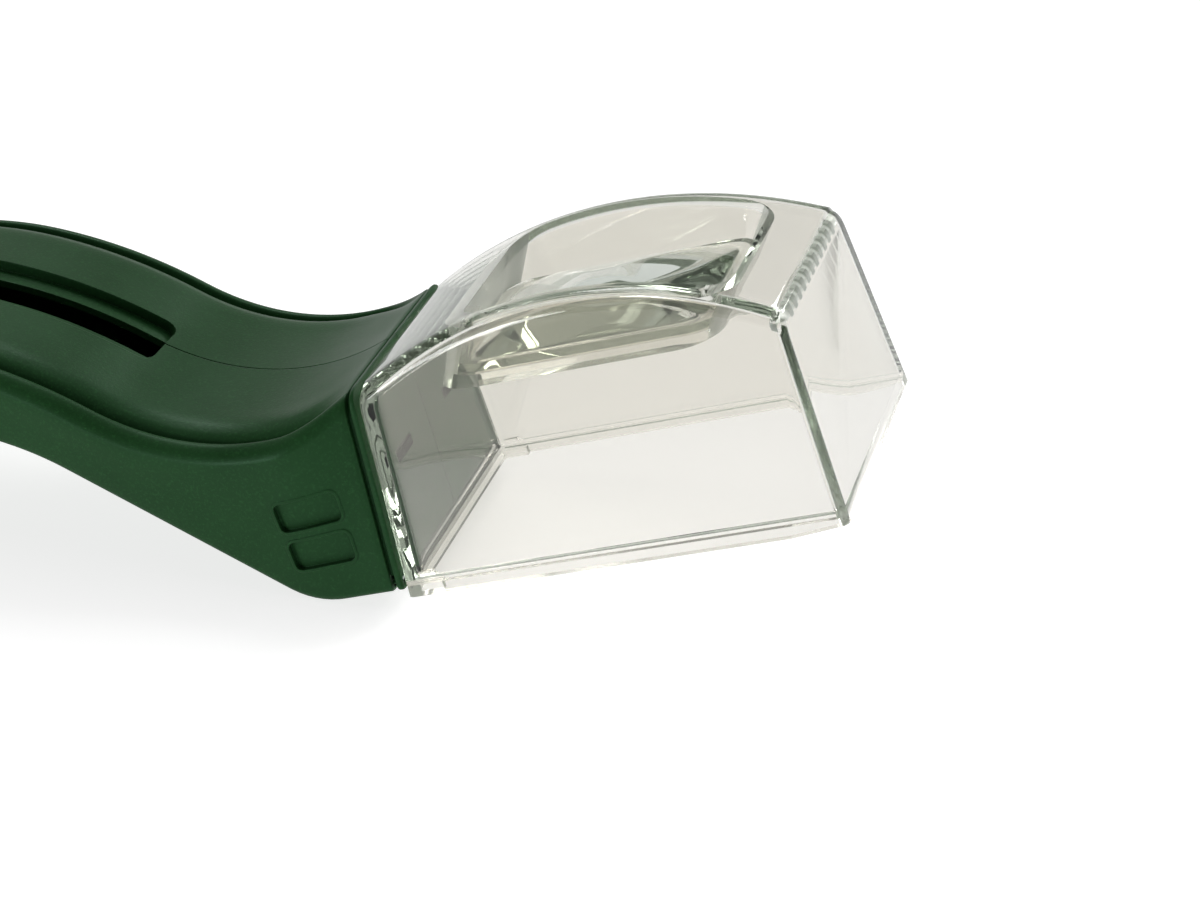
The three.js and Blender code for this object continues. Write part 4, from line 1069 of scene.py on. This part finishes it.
class TrackShape:
    """The sheet's path: straight under the box, round the heel, up the handle and over the arch."""

    def __init__(self, handle):
        self.handle = handle
        self.heel_radius = handle.heel.y - DOOR_HEIGHT
        radii = self.heel_radius + TRACK_RADIUS
        between = handle.heel - handle.arch
        self.angle = math.asin(radii / between.length) - math.atan2(between.y, between.x)
        self.normal = Vector((math.sin(self.angle), math.cos(self.angle)))
        self.run = Vector((-math.cos(self.angle), math.sin(self.angle)))
        self.heel_start = -handle.heel.x
        self.heel_end = self.heel_start + self.heel_radius * self.angle
        self.arch_start = self.heel_end + math.sqrt(between.length_squared - radii**2)

    def at(self, length, off=0.0):
        handle = self.handle
        if length <= self.heel_start:
            return Vector((-length, DOOR_HEIGHT + off))
        if length <= self.heel_end:
            angle = (length - self.heel_start) / self.heel_radius
            reach = self.heel_radius - off
            return handle.heel - Vector((math.sin(angle), math.cos(angle))) * reach
        if length <= self.arch_start:
            foot = handle.heel + self.normal * (off - self.heel_radius)
            return foot + self.run * (length - self.heel_end)
        return handle.on_arch(self.arch_angle(length), TRACK_RADIUS + off)

    def arch_angle(self, length):
        return (length - self.arch_start) / TRACK_RADIUS - self.angle

    def next(self, length, distance, pieces):
        """The place along the path that so many flat pieces of a length reach from another place."""
        for _ in range(pieces):
            origin = self.at(length)
            low, high = length, length + 2 * distance
            for _ in range(50):
                middle = (low + high) / 2
                if (self.at(middle) - origin).length < distance:
                    low = middle
                else:
                    high = middle
            length = (low + high) / 2
        return length

    def band(self, name, start, end, low, high, half, longest=1.5):
        steps = math.ceil((end - start) / longest)
        lengths = [lerp(start, end, i / steps) for i in range(steps + 1)]
        outline = [tuple(self.at(length, low)) for length in lengths]
        outline += [tuple(self.at(length, high)) for length in reversed(lengths)]
        return slab(name, outline, -half, half)


def arch_bar(name, handle, length, width, corner, middle, low_radius, high_radius, longest=2.5):
    """A bar bent to the arch, with rounded corners seen from above."""
    stations = []
    steps = 6 if corner > 0 else 0
    for i in range(steps):
        angle = (i / steps) * math.pi / 2
        stations.append((-length / 2 + corner * (1 - math.cos(angle)), corner * (1 - math.sin(angle))))
    straight = max(1, math.ceil((length - 2 * corner) / longest))
    for i in range(straight + 1):
        stations.append((lerp(corner, length - corner, i / straight) - length / 2, 0.0))
    stations += [(-run, narrower) for run, narrower in reversed(stations[:steps])]
    rings = []
    for run, narrower in stations:
        half = width / 2 - narrower
        angle = middle - run / handle.arch_radius
        low, high = handle.on_arch(angle, low_radius), handle.on_arch(angle, high_radius)
        rings.append([(p.x, y, p.y) for p, y in ((low, -half), (low, half), (high, half), (high, -half))])
    return body_of_rings(name, rings)


def button_places(handle, track):
    """The button's angle at rest, from its middle to its recess's end, and the open door's tail."""
    box = handle.box
    shut_front = box.front(DOOR_HEIGHT, box.wall) - SLIDE_GAP
    shut_tail = DOOR_PIECES * DOOR_PITCH - shut_front
    cap_run = (sizes_of("catcher_button").length / 2 + RECESS_END) / handle.arch_radius
    shut_carriage = track.arch_start + (handle.recess_front + cap_run + track.angle) * TRACK_RADIUS
    open_tail = track.next(DOOR_SETBACK, DOOR_PITCH, DOOR_PIECES)
    open_carriage = track.next(open_tail, (shut_carriage - shut_tail) / STRAP_PIECES, STRAP_PIECES)
    return track.arch_angle(open_carriage), cap_run, open_tail


def screw_places(handle):
    """Where each screw stands in X and Z, and the radius of the boss round it."""
    low_boss = SCREW_SHAFT / 2 + SEAT_GAP + BOSS_WALL
    boss = SCREW_HEAD / 2 + SEAT_GAP + BOSS_WALL
    places = [(Vector(at), boss) for at in FRONT_SCREWS]
    for angle in UNDER_SCREWS:
        above = handle.wall + low_boss - BOSS_SINK
        low = handle.arch_radius - handle.depth_at(angle)
        places.append((handle.on_arch(angle, low + above), low_boss))
    places.append((handle.on_arch(TAIL_SCREW, handle.arch_radius - handle.arch_depth / 2), low_boss))
    return places


class CATCHER_OT_handle(bpy.types.Operator):
    """Builds the two halves of the hollow handle with its lip, ridges, track and label recesses"""

    bl_idname = "catcher.handle"
    bl_label = "Handle"

    def execute(self, context):
        handle = HandleShape(BoxShape())
        outer = handle.body("handle_shell", 0.0, 0.0, NOSE_END, True)
        inner = handle.body("handle_hollow", handle.wall, FRONT_WALL, NOSE_END - NOSE_WALL, False)
        shell = copy_of(outer, "handle")
        cut(shell, copy_of(inner, "hollow_copy"))
        wide = handle.width / 2
        for at, boss in screw_places(handle):
            post = tube_along_y("boss", boss, at.x, at.y, -wide, wide)
            add(shell, inside(post, outer, keep=True))
        self.cut_track(shell, handle, outer)
        self.cut_screw_holes(shell, handle, wide)
        self.cut_hook_windows(shell)
        self.cut_label_recesses(shell, handle, inner, wide)
        for name, low, high in (
            ("left", (-FAR, SEAT_GAP / 2, -FAR), (FAR, FAR, FAR)),
            ("right", (-FAR, -FAR, -FAR), (FAR, -SEAT_GAP / 2, FAR)),
        ):
            half = copy_of(shell, f"handle_{name}_shell")
            inside(half, block("side", low, high))
            place_piece(half, FIXED_BODY, "green_plastic", [f"handle_{name}"], sharp=32)
        for used in (shell, outer, inner):
            bpy.data.objects.remove(used)
        return {"FINISHED"}

    def cut_track(self, shell, handle, outer):
        """The button's recess and slot, the floor under them, and the door's way in."""
        track = TrackShape(handle)
        open_angle, cap_run, open_tail = button_places(handle, track)
        radius = handle.arch_radius
        recess_bottom = radius - RECESS_DEPTH
        floor_low = recess_bottom - RECESS_FLOOR
        ends = handle.wall / radius
        front, rear = handle.recess_front, open_angle + cap_run
        slot_rear = open_angle + (STEM_LENGTH / 2 + RECESS_END) / radius
        above, room = radius + 4 * PAST, SHEET / 2 + GUIDE_ROOM
        entry_end = track.next(DOOR_SETBACK, DOOR_PITCH, 2)

        def along(name, start, end, width, corner, low, high):
            middle = (start + end) / 2
            return arch_bar(name, handle, (end - start) * radius, width, corner, middle, low, high)

        floor_places = (front - ends, rear + ends, RECESS_FLOOR_WIDTH, 0, floor_low, radius - PAST)
        add(shell, inside(along("track_floor", *floor_places), outer, keep=True))
        half = handle.box.groove_half
        cut(
            shell,
            along("track_recess", front, rear, RECESS_WIDTH, RECESS_CORNER, recess_bottom, above),
            along("track_slot", front, slot_rear, SLOT_WIDTH, 0, floor_low - PAST, above),
            track.band("door_entry", -2 * PAST, entry_end, -GROOVE_ROOM, 4 * GROOVE_ROOM, half),
            track.band("door_passage", track.heel_end, open_tail + 4 * PAST, -room, room, half),
        )

    def cut_screw_holes(self, shell, handle, wide):
        hole, bore = SCREW_SHAFT / 2 + SEAT_GAP, SCREW_HEAD / 2 + SEAT_GAP
        for at, _ in screw_places(handle):
            cut(
                shell,
                tube_along_y("screw_hole", hole, at.x, at.y, PIN_SEAT - SCREW_LENGTH - PAST, wide),
                tube_along_y("head_bore", bore, at.x, at.y, PIN_SEAT, wide + PAST),
            )

    def cut_hook_windows(self, shell):
        reach = HOOK_WIDTH / 2 + SEAT_GAP
        low, high = HOOK_HEIGHT - SEAT_GAP, HOOK_HEIGHT + HOOK_THICKNESS + SEAT_GAP
        rear = -FRONT_WALL - 2 * SEAT_GAP
        for y in (-HOOK_OFFSET, HOOK_OFFSET):
            cut(shell, block("hook_window", (rear, y - reach, low), (2 * PAST, y + reach, high)))

    def cut_label_recesses(self, shell, handle, inner, wide):
        """Two bare recesses, each with a low raised rim, on the right skirt."""
        middle = PANEL_LENGTH / 2 - PANEL_REAR

        def panel(name, z, grow):
            half_length, half_height = PANEL_LENGTH / 2 + grow, PANEL_HEIGHT / 2 + grow
            outline = rounded_rectangle(half_length, half_height, PANEL_CORNER + grow, 10)
            return slab(name, [(middle + x, z + y) for x, y in outline], -wide - 2 * PAST, -PANEL_REACH)

        skin = handle.body("rim_skin", -PANEL_RIM_HEIGHT, LIP_WIDTH, NOSE_END - NOSE_WALL, True)
        for z in PANEL_MIDDLES:
            rim = inside(panel("label_rim", z, PANEL_RIM), skin, keep=True)
            add(shell, combine(rim, inner, "DIFFERENCE", keep=True))
        keep = handle.body("recess_floor", PANEL_DEPTH, LIP_WIDTH, NOSE_END - NOSE_WALL, True)
        for z in PANEL_MIDDLES:
            tool = combine(panel("label_recess", z, 0.0), keep, "DIFFERENCE", keep=True)
            cut(shell, combine(tool, inner, "DIFFERENCE", keep=True))
        for used in (skin, keep):
            bpy.data.objects.remove(used)


# Small parts

def screw_body(name, length, sides=28):
    """A pan-head screw with a cross recess, head down at the origin and its shaft along +Z."""
    head, shaft = SCREW_HEAD / 2, SCREW_SHAFT / 2
    profile = [(share * head, z) for share, z in SCREW_HEAD_ROUND]
    profile += [(head, SCREW_HEAD_HEIGHT), (shaft, SCREW_HEAD_HEIGHT)]
    for i in range(int((length - 1) / THREAD_PITCH)):
        base = SCREW_HEAD_HEIGHT + (i + 0.5) * THREAD_PITCH
        profile += [(shaft * THREAD_ROOT, base), (shaft, base + THREAD_PITCH / 2)]
    tip = SCREW_HEAD_HEIGHT + length
    profile += [(shaft * THREAD_ROOT, tip - TIP_LENGTH), (TIP_RADIUS, tip)]
    angles = [2 * math.pi * i / sides for i in range(sides)]
    rings = [[(radius * math.cos(a), radius * math.sin(a), z) for a in angles] for radius, z in profile]
    piece = body_of_rings(name, rings)
    for x, y in ((CROSS_REACH, CROSS_HALF), (CROSS_HALF, CROSS_REACH)):
        cut(piece, block("cross", (-x, -y, -PAST / 2), (x, y, CROSS_DEPTH)))
    return piece


class CATCHER_OT_screws(bpy.types.Operator):
    """Builds the five screws that hold the handle's halves"""

    bl_idname = "catcher.screws"
    bl_label = "Handle screws"

    def execute(self, context):
        handle = HandleShape(BoxShape())
        head_y = PIN_SEAT + SEAT_GAP + SCREW_HEAD_HEIGHT
        places = [(at.x, head_y, at.y) for at, _ in screw_places(handle)]
        spots = bpy.data.meshes.new("spots")
        spots.from_pydata(places, [], [])
        screws = mesh_object("handle_screw_set", spots)
        screw = screw_body("handle_screw", SCREW_LENGTH)

        def at_points(nodes, entry):
            source = nodes.add("GeometryNodeObjectInfo", {"Object": entry["Screw"]})
            return {
                "Points": entry["Geometry"],
                "Instance": source.outputs["Geometry"],
                "Rotation": nodes.along("X", entry["Turn"]),
            }

        inputs = {"Screw": ("Object", screw), "Turn": ("Float", math.pi / 2)}
        repeat_by_nodes(screws, "copies_on_points", inputs, "screw_steel", at_points)
        bpy.data.objects.remove(screw)
        nodes = [f"handle_screw_{i + 1}" for i in range(len(places))]
        place_piece(screws, FIXED_BODY, "screw_steel", nodes)
        return {"FINISHED"}


class CATCHER_OT_thumb_button(bpy.types.Operator):
    """Builds the thumb button with its grip ribs, and finishes what it carries"""

    bl_idname = "catcher.thumb_button"
    bl_label = "Thumb button"

    def execute(self, context):
        handle = HandleShape(BoxShape())
        angle, _, _ = button_places(handle, TrackShape(handle))
        button = sizes_of("catcher_button")
        radius = handle.arch_radius
        half_width = RECESS_WIDTH / 2 - SLIDE_GAP
        corner = RECESS_CORNER - SLIDE_GAP
        recess_bottom = radius - RECESS_DEPTH
        outline = (button.length, 2 * half_width, corner)
        low, high = recess_bottom + SLIDE_GAP, radius + BUTTON_BASE
        base = arch_bar("thumb_button_body", handle, *outline, angle, low, high)
        add(base, self.crown(handle, button, half_width, corner, angle))
        stem_width = SLOT_WIDTH - 2 * SLIDE_GAP
        stem_low = recess_bottom - RECESS_FLOOR - SLIDE_GAP + SEAT_GAP
        add(base, arch_bar("stem", handle, STEM_LENGTH, stem_width, STEM_CORNER, angle, stem_low, radius))
        top = radius + button.rise
        for i in range(button.ribs):
            place = angle - (i - (button.ribs - 1) / 2) * RIB_PITCH / radius
            for less, bend, low, high in RIB_LAYERS:
                sizes = (RIB_WIDTH - less, button.rib_length - less, bend)
                add(base, arch_bar("rib", handle, *sizes, place, top + low, top + high))
        place_piece(base, SLIDER_BODY, "button_plastic", ["thumb_button"])
        straps = [f"pull_strap_{i + 1}" for i in range(STRAP_PIECES)]
        for node in ("slide_carriage", *straps):
            dress(frame["nodes"][node].data, "black_plastic")
        for node in ("button_screw", "strap_rivet"):
            dress(frame["nodes"][node].data, "screw_steel")
        return {"FINISHED"}

    def crown(self, handle, button, half_width, corner, angle):
        """The button above the handle, with a rounded shoulder and a dished top."""
        rise, edge = button.rise, BUTTON_SHOULDER[-1][0]
        steps = [*BUTTON_SIDE, *[(share, part * rise) for share, part in BUTTON_SHOULDER]]
        steps += [(share, rise - BUTTON_DISH * (1 - share / edge)) for share in BUTTON_DISH_SHARES]
        cap = rounded_rectangle(button.length / 2, half_width, corner, sides=6)
        rings = []
        for share, height in steps:
            ring = []
            for x, y in cap:
                at = handle.on_arch(angle - x * share / handle.arch_radius, handle.arch_radius + height)
                ring.append((at.x, y * share, at.y))
            rings.append(ring)
        return body_of_rings("button_crown", rings)


class CATCHER_OT_door(bpy.types.Operator):
    """Finishes the thin flexible door sheet"""

    bl_idname = "catcher.door"
    bl_label = "Door"

    def execute(self, context):
        for i in range(DOOR_PIECES):
            sheet = frame["nodes"][f"door_sheet_{i + 1}"]
            dress(sheet.data, "door_plastic")
            sheet.visible_shadow = False
        return {"FINISHED"}


# Stage

# The camera's place in the box's frame, and which ways are right and down in its picture
CAMERA_PLACE = (232.3, -478.9, 213.8)
CAMERA_RIGHT = (0.9206, 0.2583, -0.293)
CAMERA_DOWN = (-0.1565, -0.4431, -0.8828)

# Places and sizes of the lamps and the dark card, in metres
SOFTBOX_PLACE, SOFTBOX_SIZE = (0.4, 0.8, 0.66), 0.35
TOP_PLACE, TOP_SIZE = (-0.3, 0.45, 0.85), 0.3
FRONT_PLACE, FRONT_SIZE = (-0.5, -0.9, 0.12), 0.3
CARD_PLACE, CARD_SIZE = (0.0, -0.2, 0.7), 1.0

WHITE = (1.0, 1.0, 1.0, 1.0)
FLOOR_COLOUR, CARD_COLOUR = (0.42, 0.42, 0.42, 1.0), (0.01, 0.01, 0.012, 1.0)

# The floor's own glow to the eye, and the share of it that the other kinds of ray see
FLOOR_GLOW = 0.78
FLOOR_SHARES = {"Is Glossy Ray": 0.7, "Is Transmission Ray": 0.7, "Is Diffuse Ray": 0.9}

# How the sky's strength changes with a direction, each as two places in it and the strength at
# both: in gloss from the horizon upwards and from front to back, and the fill from front to back
GLOSS_UPWARDS = (0.0, 0.35, 1.0, 0.2)
GLOSS_BACKWARDS = (-0.3, 0.3, 0.12, 1.0)
FILL_BACKWARDS = (-0.4, 0.4, 0.2, 1.8)
GLASS_SKY, EYE_SKY = 1.0, 1.0

# The smooth heel reaches this far below the flat faces of its CAD node, in metres.
HEEL_OVERSHOOT = 0.00022


class CATCHER_OT_stage(bpy.types.Operator):
    """Sets the pale floor, the soft lights and the camera"""

    bl_idname = "catcher.stage"
    bl_label = "Stage"

    def execute(self, context):
        scene = context.scene
        settings = scene.catcher_stage
        scene.view_settings.view_transform = "Standard"
        scene.cycles.max_bounces = settings.bounces
        scene.cycles.transmission_bounces = settings.bounces
        scene.cycles.glossy_bounces = settings.bounces
        self.add_floor(settings)
        self.add_surroundings(scene, settings)
        self.add_lamp("softbox", SOFTBOX_PLACE, SOFTBOX_SIZE, settings.softbox_power)
        self.add_lamp("top_light", TOP_PLACE, TOP_SIZE, settings.top_power)
        self.add_lamp("front_light", FRONT_PLACE, FRONT_SIZE, settings.front_power)
        self.add_dark_card()
        self.add_camera(scene, settings)
        return {"FINISHED"}

    def add_camera(self, scene, settings):
        camera = bpy.data.objects.new("camera", bpy.data.cameras.new("camera"))
        scene.collection.objects.link(camera)
        camera.data.lens = settings.lens_length
        camera.data.sensor_width = 36.0
        camera.data.clip_start = 0.01
        turn = BOX_TO_ROW.to_3x3().normalized()
        right = (turn @ Vector(CAMERA_RIGHT)).normalized()
        up = -(turn @ Vector(CAMERA_DOWN))
        up = (up - right * up.dot(right)).normalized()
        facing = Matrix((right, up, right.cross(up))).transposed().to_4x4()
        camera.matrix_world = Matrix.Translation(BOX_TO_ROW @ Vector(CAMERA_PLACE)) @ facing
        scene.camera = camera

    def add_square(self, name, middle, side, looks):
        """A level square with a plain material."""
        x, y, z = middle
        half = side / 2
        corners = [(x + a * half, y + b * half, z) for a, b in ((-1, -1), (1, -1), (1, 1), (-1, 1))]
        mesh = bpy.data.meshes.new(name)
        mesh.from_pydata(corners, [], [(0, 1, 2, 3)])
        square = mesh_object(name, mesh)
        material, nodes, shader = new_material(name, 0.9, looks)
        mesh.materials.append(material)
        return square, nodes, shader

    def add_floor(self, settings):
        looks = {"Base Color": FLOOR_COLOUR, "Specular IOR Level": 0.1, "Emission Color": WHITE}
        place = (0.0, 0.0, -HEEL_OVERSHOOT)
        _, nodes, shader = self.add_square("floor", place, settings.floor_size, looks)
        path = nodes.add("ShaderNodeLightPath").outputs
        seen = path["Is Camera Ray"]
        for ray, share in FLOOR_SHARES.items():
            seen = nodes.math("MAXIMUM", seen, nodes.math("MULTIPLY", path[ray], share))
        nodes.fill(shader, {"Emission Strength": nodes.math("MULTIPLY", seen, FLOOR_GLOW)})

    def add_surroundings(self, scene, settings):
        """White to the eye and through glass, in gloss dimmer overhead and in front, and the fill."""
        world = bpy.data.worlds.new("surroundings")
        world.use_nodes = True
        scene.world = world
        nodes = Nodes(world.node_tree)
        direction = nodes.add("ShaderNodeTexCoord").outputs["Generated"]
        split = nodes.add("ShaderNodeSeparateXYZ", {0: direction}).outputs
        upwards = nodes.remap(split["Z"], *GLOSS_UPWARDS)
        backwards = nodes.remap(split["Y"], *GLOSS_BACKWARDS)
        front, rear, low, high = FILL_BACKWARDS
        strength = nodes.remap(split["Y"], front, rear, low * settings.fill, high * settings.fill)
        path = nodes.add("ShaderNodeLightPath").outputs
        for ray, value in (
            ("Is Glossy Ray", nodes.math("MULTIPLY", upwards, backwards)),
            ("Is Transmission Ray", GLASS_SKY),
            ("Is Camera Ray", EYE_SKY),
        ):
            strength = nodes.mix(path[ray], strength, value, "FLOAT")
        nodes.fill(world.node_tree.nodes["Background"], {"Color": WHITE, "Strength": strength})

    def add_lamp(self, name, place, breadth, power):
        light = bpy.data.lights.new(name, "AREA")
        light.shape = "SQUARE"
        light.size = breadth
        light.energy = power
        lamp = bpy.data.objects.new(name, light)
        bpy.context.scene.collection.objects.link(lamp)
        turn = (-Vector(place)).to_track_quat("-Z", "Y").to_matrix().to_4x4()
        lamp.matrix_world = Matrix.Translation(place) @ turn

    def add_dark_card(self):
        """A black card over the object, seen only in gloss and through glass."""
        looks = {"Base Color": CARD_COLOUR, "Specular IOR Level": 0.0}
        card, _, _ = self.add_square("dark_card", CARD_PLACE, CARD_SIZE, looks)
        card.visible_camera = False
        card.visible_diffuse = False
        card.visible_shadow = False


OPERATORS = (
    CATCHER_OT_stage,
    CATCHER_OT_clear_box,
    CATCHER_OT_magnifier,
    CATCHER_OT_handle,
    CATCHER_OT_screws,
    CATCHER_OT_thumb_button,
    CATCHER_OT_door,
)


class CATCHER_PT_panel(bpy.types.Panel):
    """Lists the steps that build the bug catcher"""

    bl_label = "Bug catcher"
    bl_idname = "CATCHER_PT_panel"
    bl_space_type = "VIEW_3D"
    bl_region_type = "UI"
    bl_category = "Catcher"

    def draw(self, context):
        for operator in OPERATORS:
            self.layout.operator(operator.bl_idname)
        for name, settings in SETTINGS.items():
            section = self.layout.box()
            for key in settings.__annotations__:
                section.prop(getattr(context.scene, name), key)


def register():
    for name, group in SETTINGS.items():
        bpy.utils.register_class(group)
        setattr(bpy.types.Scene, name, PointerProperty(type=group))
    for operator in OPERATORS:
        bpy.utils.register_class(operator)
    bpy.utils.register_class(CATCHER_PT_panel)


def unregister():
    bpy.utils.unregister_class(CATCHER_PT_panel)
    for operator in reversed(OPERATORS):
        bpy.utils.unregister_class(operator)
    for name, group in reversed(list(SETTINGS.items())):
        delattr(bpy.types.Scene, name)
        bpy.utils.unregister_class(group)


def main():
    register()
    bpy.ops.catcher.stage()
    bpy.ops.catcher.clear_box()
    bpy.ops.catcher.magnifier()
    bpy.ops.catcher.handle()
    bpy.ops.catcher.screws()
    bpy.ops.catcher.thumb_button()
    bpy.ops.catcher.door()


if __name__ == "__main__":
    main()
